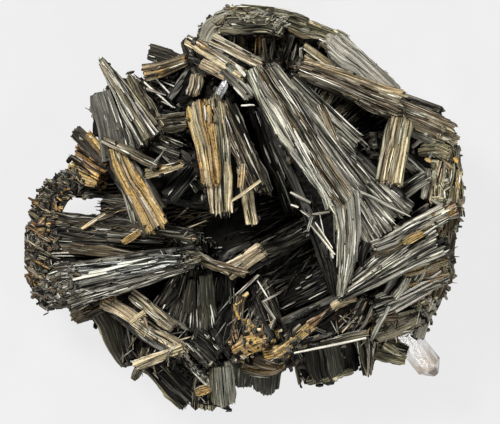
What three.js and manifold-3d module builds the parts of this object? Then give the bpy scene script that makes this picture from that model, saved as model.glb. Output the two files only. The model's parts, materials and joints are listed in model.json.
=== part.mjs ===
// A goethite specimen: blades and laths grown through each other into one cluster, with two quartz crystals.
//
// Units are millimetres, +Z is up. The cluster lies on the flat face where it was broken from its rock, at
// z = 0. X runs along its longer side and Y across it, and the origin is under its middle.

import * as THREE from 'three';
import { mergeVertices } from 'three/addons/utils/BufferGeometryUtils.js';
import Module from 'manifold-3d';

const wasm = await Module();
wasm.setup();

// The whole cluster.
const CLUSTER_HALF_LENGTH = 44.6;
const CLUSTER_HALF_DEPTH = 40.6;
const FLOOR_CUT_DEPTH = 40;

// The dense heart that the blades grow from.
const HEART_CENTRE = [5, -1, 4];
const HEART_RADII = [29, 26, 16];

// What a blade has where its own line says nothing else: its thickness at the root, its roll about its
// length in degrees, its number of laths, how far short of the tip line a lath may end, how much of the
// thickness is left at the tip, and how high the valleys between laths lie, as a share of the thickness.
const PLAIN_BLADE = { thick: 2, roll: 0, laths: 2, ragged: 1, taper: 0.55, valley: 0.28 };

// How unequal the crests are, as a share of the thickness, and the notches between tips, as one of ragged.
const CREST_LIFT = 0.3;
const NOTCH = 0.6;

// A stump's thickness at its tip, as a share of that at its root.
const STUMP_TAPER = 0.9;

// Blades that carry the underside, standing out and up from the heart to the rim.
const SKIRT_ROOT_REACH = 0.5;
const SKIRT_ROOT_HEIGHT = 1.5;
const SKIRT_THICKNESS = 5;
const SKIRT_WIDTH = [8, 11];

// Quartz crystals sit in pockets of the goethite with this gap all round.
const POCKET_GAP = 0.3;
const QUARTZ_SIDES = 6;

const UP = new THREE.Vector3(0, 0, 1);
const BACK = new THREE.Vector3(0, 1, 0);

/** A repeatable stream of numbers from 0 to 1. */
function numberStream(seed) {
  let state = seed;
  return () => {
    state = (state + 0x6d2b79f5) | 0;
    let mixed = Math.imul(state ^ (state >>> 15), 1 | state);
    mixed = (mixed + Math.imul(mixed ^ (mixed >>> 7), 61 | mixed)) ^ mixed;
    return ((mixed ^ (mixed >>> 14)) >>> 0) / 4294967296;
  };
}

/** A three.js geometry as a manifold solid. */
function toSolid(geometry) {
  const bare = geometry.clone();
  bare.deleteAttribute('normal');
  bare.deleteAttribute('uv');
  const merged = mergeVertices(bare, 1e-4);
  const mesh = new wasm.Mesh({
    numProp: 3,
    vertProperties: new Float32Array(merged.attributes.position.array),
    triVerts: new Uint32Array(merged.index.array),
  });
  return new wasm.Manifold(mesh);
}

/** A manifold solid as a three.js geometry. */
function toGeometry(solid) {
  const mesh = solid.getMesh();
  const geometry = new THREE.BufferGeometry();
  geometry.setAttribute('position', new THREE.BufferAttribute(mesh.vertProperties.slice(), 3));
  geometry.setIndex(new THREE.BufferAttribute(mesh.triVerts.slice(), 1));
  geometry.computeVertexNormals();
  return geometry;
}

/** The directions of a blade: along its length, across its width and out of its broad face. */
function bladeAxes(root, tip, roll) {
  const along = tip.clone().sub(root).normalize();
  const reference = Math.abs(along.z) > 0.95 ? BACK : UP;
  const across = new THREE.Vector3().crossVectors(reference, along).normalize();
  across.applyAxisAngle(along, THREE.MathUtils.degToRad(roll));
  const out = new THREE.Vector3().crossVectors(along, across);
  return { along, across, out };
}

/**
 * One end of a blade, as the points of its cross-section. Between two valleys each lath has a crest, and the
 * back is flat. reach says how far along the blade each lath's crest, or each valley, comes.
 */
function bladeEnd(axes, centre, width, thickness, laths, valley, reach) {
  const point = (across, out, along) => {
    const place = centre.clone().addScaledVector(axes.across, across);
    return place.addScaledVector(axes.out, out).addScaledVector(axes.along, along);
  };
  const valleys = [];
  const backs = [];
  for (let k = 0; k <= laths; k += 1) {
    const across = (k / laths - 0.5) * width;
    valleys.push(point(across, valley * thickness, reach.valleys[k]));
    backs.push(point(across, -0.5 * thickness, reach.valleys[k]));
  }
  const crests = reach.crests.map((along, k) => {
    const across = ((k + 0.5) / laths - 0.5) * width;
    return point(across, (0.5 + reach.lifts[k]) * thickness, along);
  });
  return [...valleys, ...backs, ...crests];
}

/**
 * A blade of laths grown side by side, from a root line to a tip line, as one closed solid. Its width is [at
 * the root, at the tip].
 */
function blade(shape, seed) {
  const { root, tip, width, thick, roll, laths, ragged, taper, valley } = { ...PLAIN_BLADE, ...shape };
  const rootCentre = new THREE.Vector3(...root);
  const tipCentre = new THREE.Vector3(...tip);
  const axes = bladeAxes(rootCentre, tipCentre, roll);
  const random = numberStream(seed);
  const lifts = Array.from({ length: laths }, () => (random() - 0.5) * CREST_LIFT);
  const short = lifts.map(() => -random() * ragged);
  const notches = Array.from({ length: laths + 1 }, (_, k) => {
    const beside = Math.min(short[Math.max(k - 1, 0)], short[Math.min(k, laths - 1)]);
    return beside - random() * NOTCH * ragged;
  });
  const level = { crests: lifts.map(() => 0), valleys: notches.map(() => 0), lifts };
  const torn = { crests: short, valleys: notches, lifts };
  const corners = [
    ...bladeEnd(axes, rootCentre, width[0], thick, laths, valley, level),
    ...bladeEnd(axes, tipCentre, width[1], thick * taper, laths, valley, torn),
  ];
  const perEnd = corners.length / 2;
  const low = (k) => k;
  const back = (k) => laths + 1 + k;
  const high = (k) => 2 * (laths + 1) + k;
  const faces = [];
  const wall = (from, to) => {
    faces.push(from, from + perEnd, to + perEnd, from, to + perEnd, to);
  };
  const cap = (a, b, c) => {
    faces.push(a, b, c, a + perEnd, c + perEnd, b + perEnd);
  };
  for (let k = 0; k < laths; k += 1) {
    wall(low(k), high(k));
    wall(high(k), low(k + 1));
    wall(back(k + 1), back(k));
    cap(low(k), high(k), back(k));
    cap(high(k), back(k + 1), back(k));
    cap(high(k), low(k + 1), back(k + 1));
  }
  wall(low(laths), back(laths));
  wall(back(0), low(0));
  const geometry = new THREE.BufferGeometry().setFromPoints(corners);
  geometry.setIndex(faces);
  return toSolid(geometry);
}

/** A stump: a plain block between two ends, with its broad face up. */
function stump({ root, tip, width, thick }) {
  const rootCentre = new THREE.Vector3(...root);
  const tipCentre = new THREE.Vector3(...tip);
  const axes = bladeAxes(rootCentre, tipCentre, 0);
  const geometry = new THREE.BoxGeometry(1, 1, 1);
  const corners = geometry.attributes.position;
  for (let i = 0; i < corners.count; i += 1) {
    const atTip = corners.getZ(i) > 0;
    const place = atTip ? tipCentre.clone() : rootCentre.clone();
    place.addScaledVector(axes.across, corners.getX(i) * (atTip ? width[1] : width[0]));
    place.addScaledVector(axes.out, corners.getY(i) * thick * (atTip ? STUMP_TAPER : 1));
    corners.setXYZ(i, place.x, place.y, place.z);
  }
  return toSolid(geometry);
}

// The great fan on top: its apex is at the back and it spreads to the front right.
const MAIN_FAN = [
  { root: [1.6, 27.4, 41], tip: [10.6, 8.4, 39], width: [2.6, 3.6], thick: 2.8 },
  { root: [9.6, 10.6, 39.5], tip: [17.6, -1.2, 37.5], width: [3.4, 3.2], thick: 2.8 },
  { root: [4, 27.4, 41], tip: [20, 2, 37.5], width: [5, 11], thick: 3.4, laths: 4, ragged: 2 },
  { root: [8, 25.2, 40.5], tip: [22.4, 10.8, 37.5], width: [4.6, 6], thick: 3, laths: 3, ragged: 2 },
  { root: [18.6, 4, 38.2], tip: [19.2, -17.8, 35.4], width: [7.6, 2], thick: 2.6, laths: 3, ragged: 0.6 },
  { root: [17.6, 6.4, 38], tip: [25.2, -8, 35.5], width: [6, 8], thick: 2.8, laths: 3, ragged: 2.5 },
  { root: [19, 9.4, 37.6], tip: [31, -3, 34.5], width: [5.6, 7], thick: 2.8, laths: 3, ragged: 2.5 },
];

// The sheaf that crosses behind the great fan, and the broad plates behind and above it.
const BACK_SHEAF = [
  { root: [10, 28.4, 38.4], tip: [31, 20.2, 35.6], width: [2.6, 6], thick: 5, laths: 3, roll: -10 },
  { root: [22, 23.1, 36.4], tip: [41.6, 14.6, 28.6], width: [4.4, 4.8], thick: 5, laths: 3, ragged: 2 },
  { root: [16.2, 34.4, 31.6], tip: [29, 22.8, 31], width: [5, 3.4], thick: 2.6, roll: -20 },
  { root: [18.6, 33.6, 26], tip: [28.2, 22.6, 24], width: [5, 5], thick: 2.6, laths: 1, roll: -65 },
  { root: [20, 13, 16.4], tip: [28, 17, 16.4], width: [6, 6], thick: 2.4, laths: 1, roll: 25 },
];

// The curved hood along the back rim, and the wall of the hollow under it.
const HOOD = [
  { root: [-8, 33, 25.4], tip: [-1.6, 38.6, 29.4], width: [3.2, 3.2], thick: 5, laths: 1, roll: -35 },
  { root: [-3.6, 38.6, 29.4], tip: [8.4, 37.4, 31], width: [3.2, 3.4], thick: 5, laths: 1, roll: -35 },
  { root: [6, 36.8, 31.4], tip: [19, 33.8, 31], width: [3.2, 3], thick: 4.4, laths: 1, roll: -20 },
  { root: [-7.6, 29, 12], tip: [-5, 36.8, 27], width: [7, 6], thick: 3, laths: 1 },
  { root: [1, 28, 12], tip: [3, 37.8, 28], width: [9, 9], thick: 3, laths: 1 },
  { root: [11, 27, 13], tip: [14.6, 35.4, 29], width: [9, 9], thick: 3, laths: 1 },
];

// Laths that cross over each other at the head of the great fan.
const CROSSING = [
  { root: [-11.4, 34, 33], tip: [0.4, 25.8, 38], width: [2.6, 2.2], thick: 2, ragged: 0.6 },
  { root: [-6.6, 33.4, 34.4], tip: [3.6, 28, 38.4], width: [2.2, 2.2], thick: 2.8, ragged: 0.4 },
  { root: [-8.6, 29, 35], tip: [-3.6, 26, 36.6], width: [2, 1.8], thick: 1.8, laths: 1 },
  { root: [-4, 28.2, 37.4], tip: [1.6, 21.4, 35.6], width: [2.4, 3], thick: 2.2, ragged: 1.4 },
];

// The ragged back left shoulder: dark stubs, a pale one across them, and the hollow in front of them.
const LEFT_SHOULDER = [
  { root: [-11.6, 28.8, 27.6], tip: [-19.2, 31.4, 26.6], width: [2.6, 3.6], thick: 2.4, laths: 1 },
  { root: [-11.4, 29.6, 30.4], tip: [-20.6, 26.8, 28], width: [2.4, 3], thick: 1.8 },
  { root: [-8, 26, 29.6], tip: [-12.2, 33.2, 28], width: [4.4, 3], thick: 3.2, ragged: 1.6 },
  { root: [-21.6, 21, 22.6], tip: [-11, 27, 27.4], width: [2, 2.6], thick: 1.8, laths: 1 },
  { root: [-8, 15, 30], tip: [-17.8, 18.8, 29], width: [2.6, 2.8], thick: 2.6, laths: 1 },
];

// The pointed blade that stands out at the back left, and the flat grey one beside it.
const LEFT_BLADES = [
  { root: [-17.4, 13.4, 31.8], tip: [-28.5, 28.8, 26.4], width: [3.8, 2.8], thick: 3, ragged: 0.6 },
  { root: [-17.8, 16.4, 31], tip: [-24.4, 27.2, 27], width: [4.4, 3.4], thick: 2.6, ragged: 1.6 },
  { root: [-19.4, 11, 29.6], tip: [-27.4, 25.4, 25.6], width: [2.6, 2], thick: 2, laths: 1 },
  { root: [-28.2, 14, 30.2], tip: [-28.8, 22.8, 27], width: [6, 4.6], thick: 2.4, ragged: 0.5 },
  { root: [-22.2, 2.4, 30.8], tip: [-27.8, 15.4, 29.6], width: [2.4, 4.4], thick: 2.6, laths: 1 },
  { root: [-28, 9.6, 22.4], tip: [-34.6, 15.6, 20.4], width: [3, 2.4], thick: 2, laths: 1 },
  { root: [-26.6, 9, 25.4], tip: [-31.8, 15.2, 24], width: [1.8, 1.6], thick: 2.4, laths: 1 },
  { root: [-27.6, 7, 22.8], tip: [-35, 11.6, 19], width: [4.4, 3.6], thick: 2.8, laths: 3, ragged: 1.4 },
  { root: [-28.4, 5, 19], tip: [-35.6, 8.6, 15.6], width: [3.6, 3.2], thick: 4, laths: 1 },
];

// The golden blade, and the laths that cross it.
const GOLDEN_BLADE = [
  { root: [-25.6, 11.6, 33.2], tip: [-17.8, -3.8, 31.4], width: [3.6, 5.8], thick: 3, laths: 3 },
  { root: [-17, 8.2, 35], tip: [-28.4, 13.4, 34.6], width: [1.9, 1.5], thick: 1.6, laths: 1 },
  { root: [-19.6, 6.6, 32.6], tip: [-9.4, 9.4, 36.4], width: [2, 1.6], thick: 2, laths: 1 },
  { root: [-12.6, 11.4, 29.4], tip: [-21.6, 14.6, 29], width: [3.4, 3.4], thick: 2.2, laths: 1 },
  { root: [-8, 4, 29], tip: [-17.4, 14.8, 28.6], width: [3.4, 4.4], thick: 2.4, ragged: 1.4 },
];

// The fan left of the middle.
const MIDDLE_FAN = [
  { root: [-8.4, 20.8, 38.2], tip: [-8, 5, 36.6], width: [6, 4.6], thick: 3.6, laths: 3 },
  { root: [-6.8, 12, 37], tip: [-6.4, -1.2, 34.4], width: [3.2, 4], thick: 2.8, ragged: 0.8 },
  { root: [-6, 20, 37.8], tip: [-2.6, -2.2, 34], width: [3.2, 2.6], thick: 3, ragged: 1.2 },
  { root: [-4.4, 20.4, 37], tip: [3.2, 2.4, 33.6], width: [3.6, 4.4], thick: 3, laths: 3, ragged: 2 },
  { root: [-0.4, 8, 35.2], tip: [2.2, -3.8, 32], width: [2.2, 2.4], thick: 2.2, ragged: 0.8 },
  { root: [-2.6, 20.4, 35.6], tip: [5.4, 2.6, 32.6], width: [1.2, 1.4], thick: 2, laths: 1 },
];

// The loop round the hole at the left end.
const LEFT_LOOP = [
  { root: [-32, 7.2, 13], tip: [-39.8, 2.2, 12.6], width: [4.6, 5], thick: 8, laths: 1 },
  { root: [-38, 4.2, 13], tip: [-41.6, -3.8, 12.4], width: [5, 5.4], thick: 8, laths: 1 },
  { root: [-40.6, -1, 12.4], tip: [-41.8, -9.6, 12], width: [5.2, 5.6], thick: 8, laths: 1 },
  { root: [-41.8, -6, 12], tip: [-41.2, -15.8, 12], width: [5.6, 5.4], thick: 8, laths: 1 },
  { root: [-42, -12.8, 12], tip: [-38, -20.8, 12], width: [5, 4.6], thick: 8, laths: 1 },
  { root: [-42.6, -5.2, 14], tip: [-44.8, -5.2, 13.4], width: [1.8, 1.1], thick: 1.8, laths: 1 },
  { root: [-22, 4.4, 15], tip: [-34.6, 4, 12], width: [4.4, 4.2], thick: 5, laths: 1 },
  { root: [-20, -0.6, 18], tip: [-29, 0.4, 15], width: [6, 5], thick: 5, laths: 1 },
];

// Dark laths below the hole, running in to the middle.
const LEFT_BUNDLE = [
  { root: [-10, -6.6, 23], tip: [-39.4, -3.4, 13.6], width: [5, 5.8], thick: 4.4, ragged: 2 },
  { root: [-12, -9, 20], tip: [-40, -9.6, 12.6], width: [5, 6.6], thick: 5, ragged: 2 },
];

// The grey fan with a metallic shine, its apex near the middle.
const SILVER_FAN = [
  { root: [-10.6, -9.8, 28], tip: [-35.6, -16.2, 22.2], width: [3, 9.4], thick: 3.4, laths: 4, ragged: 1.4 },
  { root: [-30, -15.4, 20.4], tip: [-40.8, -17.6, 14], width: [8.6, 7], thick: 3.4, laths: 1 },
  { root: [-30, -17.4, 16], tip: [-35.4, -21.8, 13], width: [6, 5], thick: 4, laths: 1 },
];

// The front left edge: dark blades below, brown laths above them.
const FRONT_LEFT = [
  { root: [-29.4, -18.8, 14], tip: [-24.2, -31.2, 10], width: [7, 5.4], thick: 3.4, laths: 3, ragged: 1.4 },
  { root: [-24, -18, 13], tip: [-21.8, -31.6, 11], width: [6, 5.4], thick: 3.4, laths: 1 },
  { root: [-28, -18.2, 20], tip: [-12.6, -28.8, 23], width: [3, 3], thick: 2.6, ragged: 0.8 },
  { root: [-23, -17.6, 22], tip: [-14.6, -23.8, 24], width: [2.4, 2.2], thick: 2.6, ragged: 0.6 },
  { root: [-12, -28.2, 23.4], tip: [-22.2, -31.8, 18.6], width: [1.8, 1.8], thick: 2, laths: 1 },
  { root: [-19.6, -29, 16], tip: [-22.2, -34.8, 11.6], width: [2.4, 1.4], thick: 2.2, laths: 1 },
  { root: [-18.6, -29.6, 15], tip: [-10, -37.9, 12.6], width: [6.6, 8.2], thick: 3.4 },
  { root: [-13.4, -29.4, 17.4], tip: [-6.2, -36.6, 14.6], width: [1.6, 1.8], thick: 2.6, laths: 1 },
  { root: [-5.6, -31, 15], tip: [-6.9, -41, 13.2], width: [7, 9], thick: 2.8, ragged: 0.4 },
];

// The front middle: dark upright blades, golden blocks and rounded dark lobes at the edge.
const FRONT_MIDDLE = [
  { root: [-7.4, -11, 21.6], tip: [-8.4, -27, 14.6], width: [7.6, 9], thick: 3.4, ragged: 2 },
  { root: [-7, -13.4, 22.8], tip: [-6.6, -25, 18], width: [2.2, 2.6], thick: 2.2, laths: 1 },
  { root: [-1.6, -29, 21.6], tip: [4, -26, 23.6], width: [3.2, 2.8], thick: 3, laths: 1 },
  { root: [0.4, -26, 17], tip: [-0.8, -35.6, 11], width: [5, 3.8], thick: 6, laths: 1 },
  { root: [3.4, -26, 17], tip: [4.4, -36.8, 10.4], width: [6, 5], thick: 6, laths: 1 },
  { root: [-3.6, -13, 24], tip: [3.6, -8.2, 26], width: [3.2, 3.4], thick: 2.6 },
  { root: [8, -32.2, 14.6], tip: [2.6, -14.4, 21.6], width: [6, 4], thick: 2.6, laths: 1 },
];

// Dark blades in the deep hollow between the fans.
const HOLLOW = [
  { root: [-1, -11.4, 22], tip: [17.4, -1.2, 20], width: [5, 5], thick: 2.4, ragged: 4 },
  { root: [3.4, -16, 15], tip: [17, -9, 15], width: [7, 8], thick: 2.4, ragged: 3 },
  { root: [2.6, 20, 28.6], tip: [11.6, -1, 23], width: [4, 6], thick: 2.8, laths: 1 },
  { root: [8, 4.4, 26.4], tip: [16.4, -0.6, 27], width: [1.3, 1.1], thick: 1.6, laths: 1 },
];

// The front right: a rusty lath, a long pale one, dark blades at the edge and the bed of the quartz.
const FRONT_RIGHT = [
  { root: [7.4, -28.8, 23.4], tip: [22.8, -17.4, 29], width: [2.6, 2.2], thick: 2.6 },
  { root: [9.4, -28.4, 23.6], tip: [25.4, -25, 26.4], width: [1.3, 1.1], thick: 1.5, laths: 1 },
  { root: [12.4, -26.6, 18.6], tip: [15.4, -36, 12.4], width: [8, 8], thick: 4, laths: 3, ragged: 1 },
  { root: [19.4, -26, 18.6], tip: [22, -33.6, 12.8], width: [5.4, 5.4], thick: 4, laths: 1 },
  { root: [24, -25, 21.6], tip: [25.4, -33.6, 15.6], width: [4, 2.6], thick: 3, ragged: 0.6 },
  { root: [24.6, -26.2, 22.6], tip: [36, -22.4, 22], width: [4, 4], thick: 4, ragged: 0.8 },
  { root: [34.6, -26.6, 17], tip: [37.8, -17.6, 20.2], width: [3, 3], thick: 4, laths: 1 },
  { root: [25.6, -27.4, 18.6], tip: [32.6, -29.8, 16.8], width: [5, 4], thick: 4.4, ragged: 0.6 },
  { root: [20, -25, 21.6], tip: [25.8, -18, 26.6], width: [5, 4.4], thick: 2.8, ragged: 2 },
];

// The right side: long pale laths over the great fan's end, short ones across them, and the rim.
const RIGHT_SIDE = [
  { root: [19.4, -18, 35.6], tip: [39.4, -4.6, 33.4], width: [2, 3.6], thick: 2.4, ragged: 1.4 },
  { root: [20.6, -15, 33.6], tip: [38, -3, 32.2], width: [3, 5.4], thick: 2.8, laths: 3, ragged: 2 },
  { root: [26, -7.8, 35.8], tip: [40.4, -0.2, 32.2], width: [3.4, 3.2], thick: 2.6, ragged: 1.4 },
  { root: [31, 18.4, 36.8], tip: [28.2, 4.4, 37.4], width: [4.8, 5.6], thick: 3.4, laths: 3 },
  { root: [27.6, 0.4, 34], tip: [36.4, 6.4, 32.6], width: [3.4, 2.6], thick: 2.4, ragged: 1.4 },
  { root: [31, 10.4, 31.6], tip: [38.8, 3.8, 30], width: [2.4, 2.4], thick: 2.2, laths: 1 },
  { root: [28, -15.4, 26.6], tip: [41, -9.6, 26], width: [4.4, 4], thick: 2.8, ragged: 2 },
  { root: [25.4, -20.6, 25.2], tip: [41, -12.2, 22.4], width: [4.4, 3.4], thick: 2.8, ragged: 1.4 },
  { root: [30, -13.4, 29.4], tip: [26.8, -21, 26.8], width: [5, 4], thick: 2.4, ragged: 2 },
  { root: [37.4, -16.8, 16], tip: [41.6, -3.2, 18], width: [5.4, 5], thick: 5, laths: 1, roll: 30 },
  { root: [41, -3.8, 21.6], tip: [42, 13.6, 23], width: [4.8, 4.2], thick: 6, ragged: 0.6, roll: 20 },
  { root: [36, 12, 30], tip: [43.2, 14.6, 27], width: [3.4, 3.4], thick: 2.4, laths: 1 },
  { root: [33.4, 11.8, 31], tip: [39.8, 10.4, 30], width: [4.4, 4], thick: 2.6, laths: 1 },
  { root: [38.8, -1, 30.8], tip: [38.4, 9, 29.8], width: [3.6, 3.4], thick: 2.6 },
];

// Thick stumps under the fans, which carry them on the heart.
const STUMPS = [
  { root: [5, 22.4, 28], tip: [24, -3.6, 26], width: [6, 19], thick: 23 },
  { root: [13, 27.4, 27], tip: [38, 17.6, 21], width: [3, 4], thick: 17 },
  { root: [26, 5, 21], tip: [41, 7, 19], width: [19, 17], thick: 16 },
  { root: [21, -13, 26], tip: [38, -4.6, 23], width: [5, 10], thick: 17 },
  { root: [-25, 10, 26], tip: [-18.4, -1, 24.6], width: [4.4, 5], thick: 14 },
  { root: [-6, 5, 19], tip: [-24, 8, 21], width: [10, 9], thick: 16 },
  { root: [-17, 12, 23], tip: [-28, 21, 20], width: [8, 6], thick: 16 },
  { root: [-7, 19.6, 28], tip: [-0.8, 2.6, 26], width: [8, 8.6], thick: 19 },
  { root: [-9, 31, 26], tip: [1, 25.6, 28.6], width: [3.4, 3.4], thick: 18 },
  { root: [-6, 26, 24], tip: [-11.4, 20, 22], width: [10, 8], thick: 15 },
  { root: [-8.6, -9.4, 21.6], tip: [-33, -14.8, 17], width: [3, 7], thick: 13 },
  { root: [-26, -19, 15], tip: [-12, -27.6, 17], width: [4.4, 6], thick: 13 },
  { root: [-4, -20, 14], tip: [2.4, -29.6, 15], width: [9, 9], thick: 15 },
  { root: [-4, -12, 19], tip: [4, -8, 20], width: [4, 4], thick: 12 },
  { root: [9, -25, 18], tip: [24, -19, 20.4], width: [5, 7], thick: 15 },
  { root: [21, -22, 16], tip: [37, -19.6, 15], width: [7, 8], thick: 14 },
  { root: [25, -14.4, 20.4], tip: [40, -9.4, 18.6], width: [8, 7], thick: 14 },
];

// Blades of the underside, one for each direction: the angle, how far out the rim is and how high.
const SKIRT = [
  { angle: 355, reach: 41, rim: 16 },
  { angle: 19, reach: 42, rim: 19 },
  { angle: 41, reach: 38, rim: 22 },
  { angle: 60, reach: 37, rim: 23 },
  { angle: 78, reach: 37, rim: 25 },
  { angle: 97, reach: 37, rim: 24 },
  { angle: 117, reach: 33, rim: 21 },
  { angle: 138, reach: 34, rim: 21 },
  { angle: 158, reach: 33, rim: 13 },
  { angle: 197, reach: 39, rim: 8 },
  { angle: 211, reach: 37, rim: 9 },
  { angle: 229, reach: 35, rim: 8 },
  { angle: 249, reach: 36, rim: 9 },
  { angle: 268, reach: 33, rim: 8 },
  { angle: 288, reach: 33, rim: 9 },
  { angle: 307, reach: 34, rim: 11 },
  { angle: 327, reach: 37, rim: 13 },
];

/** One skirt blade, from beside the heart at the bottom out to the rim. */
function skirtBlade({ angle, reach, rim }) {
  const turn = THREE.MathUtils.degToRad(angle);
  const [outX, outY] = [Math.cos(turn), Math.sin(turn)];
  const start = reach * SKIRT_ROOT_REACH;
  return {
    root: [outX * start, outY * start, SKIRT_ROOT_HEIGHT],
    tip: [outX * reach, outY * reach, rim],
    width: SKIRT_WIDTH,
    thick: SKIRT_THICKNESS,
    laths: 1,
    ragged: 1,
    taper: 0.7,
  };
}

/** The rough lump under the blades. */
function heart() {
  const geometry = new THREE.IcosahedronGeometry(1.1, 0);
  geometry.scale(...HEART_RADII);
  geometry.translate(...HEART_CENTRE);
  return toSolid(geometry);
}

/** Everything below the face that the cluster was broken off at. */
function belowFloor() {
  const geometry = new THREE.BoxGeometry(
    4 * CLUSTER_HALF_LENGTH,
    4 * CLUSTER_HALF_DEPTH,
    FLOOR_CUT_DEPTH,
  );
  geometry.translate(0, 0, -FLOOR_CUT_DEPTH / 2);
  return toSolid(geometry);
}

/** A six-sided quartz crystal from root to tip with a pointed end, wider all round by the margin. */
function quartz({ root, tip, radius, point }, margin) {
  const start = new THREE.Vector3(...root);
  const end = new THREE.Vector3(...tip);
  const length = start.distanceTo(end);
  const profile = [
    new THREE.Vector2(0, -margin),
    new THREE.Vector2(radius + margin, -margin),
    new THREE.Vector2(radius + margin, length - point),
    new THREE.Vector2(0.25 * radius + margin, length + margin),
    new THREE.Vector2(0, length + 1.5 * margin),
  ];
  const geometry = new THREE.LatheGeometry(profile, QUARTZ_SIDES);
  const turn = new THREE.Quaternion().setFromUnitVectors(BACK, end.clone().sub(start).normalize());
  geometry.applyQuaternion(turn);
  geometry.translate(...root);
  return toSolid(geometry);
}

const QUARTZ_CRYSTAL = { root: [30.6, -23.8, 16.4], tip: [38.6, -33.6, 14], radius: 2.7, point: 2.2 };
const QUARTZ_SPLINTER = { root: [-5.8, 21.4, 33.6], tip: [-3.6, 25.2, 36.4], radius: 0.9, point: 1 };

/** All the goethite as one solid, cut flat underneath and with a pocket for each quartz crystal. */
function goethiteCluster() {
  const groups = [
    MAIN_FAN, BACK_SHEAF, HOOD, CROSSING, LEFT_SHOULDER, LEFT_BLADES, GOLDEN_BLADE, MIDDLE_FAN, LEFT_LOOP,
    LEFT_BUNDLE, SILVER_FAN, FRONT_LEFT, FRONT_MIDDLE, HOLLOW, FRONT_RIGHT, RIGHT_SIDE,
    SKIRT.map(skirtBlade),
  ];
  const blades = groups.flat();
  const solids = blades.map((each, number) => blade(each, number + 1));
  const grown = wasm.Manifold.union([heart(), ...STUMPS.map(stump), ...solids]);
  const cut = grown
    .subtract(belowFloor())
    .subtract(quartz(QUARTZ_CRYSTAL, POCKET_GAP))
    .subtract(quartz(QUARTZ_SPLINTER, POCKET_GAP));
  // A void that no opening reaches comes out as a body of negative volume, and is left filled.
  return cut.decompose().reduce((best, body) => (body.volume() > best.volume() ? body : best));
}

const goethite = new THREE.MeshStandardMaterial({
  color: 0x685f4d, roughness: 0.5, metalness: 0.2, flatShading: true,
});
const clearQuartz = new THREE.MeshStandardMaterial({
  color: 0xe8eaea, roughness: 0.1, metalness: 0, transparent: true, opacity: 0.6, flatShading: true,
});

/** A named mesh of one solid. */
function piece(name, solid, material) {
  const mesh = new THREE.Mesh(toGeometry(solid), material);
  mesh.name = name;
  return mesh;
}

const specimen = new THREE.Group();
specimen.add(piece('goethite_cluster', goethiteCluster(), goethite));
specimen.add(piece('quartz_crystal', quartz(QUARTZ_CRYSTAL, 0), clearQuartz));
specimen.add(piece('quartz_splinter', quartz(QUARTZ_SPLINTER, 0), clearQuartz));

export default specimen;
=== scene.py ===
"""The looks of a goethite specimen: thousands of striated laths on a dark crust, and two quartz crystals.

The cluster lies on the flat face where it was broken from its rock, at z = 0. Its parts are given in
millimetres in the model's own frame, with +Z up, and are made in metres.
"""

import json
import logging
import math
from dataclasses import dataclass, field, replace
from enum import Enum
from typing import Any

import bmesh
import bpy
import numpy as np
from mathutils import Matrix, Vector
from mathutils.bvhtree import BVHTree

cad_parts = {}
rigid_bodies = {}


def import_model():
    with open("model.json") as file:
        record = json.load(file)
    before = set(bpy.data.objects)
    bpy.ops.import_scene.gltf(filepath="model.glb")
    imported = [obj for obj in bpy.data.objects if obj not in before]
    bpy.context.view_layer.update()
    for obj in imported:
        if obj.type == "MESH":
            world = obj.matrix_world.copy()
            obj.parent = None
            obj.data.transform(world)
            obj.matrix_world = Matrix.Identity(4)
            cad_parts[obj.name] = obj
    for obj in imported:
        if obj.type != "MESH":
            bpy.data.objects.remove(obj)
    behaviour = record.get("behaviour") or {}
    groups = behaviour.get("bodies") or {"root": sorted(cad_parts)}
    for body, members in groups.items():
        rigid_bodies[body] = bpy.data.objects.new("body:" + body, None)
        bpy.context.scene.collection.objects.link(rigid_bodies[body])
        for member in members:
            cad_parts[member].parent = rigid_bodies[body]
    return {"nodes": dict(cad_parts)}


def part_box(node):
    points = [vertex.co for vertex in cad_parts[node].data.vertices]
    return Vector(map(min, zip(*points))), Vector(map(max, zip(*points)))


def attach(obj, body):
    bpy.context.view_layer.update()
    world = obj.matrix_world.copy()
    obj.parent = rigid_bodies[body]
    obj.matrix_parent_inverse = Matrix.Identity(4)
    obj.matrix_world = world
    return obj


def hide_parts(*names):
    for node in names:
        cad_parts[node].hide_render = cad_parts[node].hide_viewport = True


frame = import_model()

log = logging.getLogger("goethite")

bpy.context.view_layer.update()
CLUSTER_NODE = "goethite_cluster"
CRYSTAL_NODES = ("quartz_crystal", "quartz_splinter")
BODY = "root"
MM = 0.001
SCREEN_WHITE = 255
SCREEN_GAMMA = 2.2
HUE_SPREAD = 0.02
TINT_LIMITS = (0.002, 0.9)
GROOVE_DEPTH = 0.0003
GLOSS = 0.12
QUARTZ_IOR = 1.54
BLADE_SEED = 100
STUMP_SEED = 200
SLIVER_SEED = 300
LITTER_SEED = 400

Array = np.ndarray
Random = np.random.Generator
Mesh = bpy.types.Mesh
Object = bpy.types.Object
Surface = bpy.types.Material
Point = tuple[float, float, float]
Colour = tuple[float, float, float]
Range = tuple[float, float]
Axes = tuple[Array, Array, Array]
Faces = list[tuple[int, ...]]


def tone(red: int, green: int, blue: int) -> Colour:
    """A linear colour from screen values of 0 to 255."""
    return tuple(float(c) for c in (np.array([red, green, blue]) / SCREEN_WHITE) ** SCREEN_GAMMA)


@dataclass(frozen=True)
class Finish:
    """How the laths of one kind look."""

    colour: Colour  # the mean colour of a lath
    spread: float  # how much single laths differ, as a logarithm
    rust: float  # how much rusty coating lies on it, from 0 to 1
    # rim scales the painted highlights: pale lines along the edges and threads on the ridge tops.
    rim: float  # how pale its edges and splinters are, from 0 to 1
    sheen: float  # how metallic it shines, from 0 to 1
    grain: float = 1.0  # how strong its striation is, from 0 to 1


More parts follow.
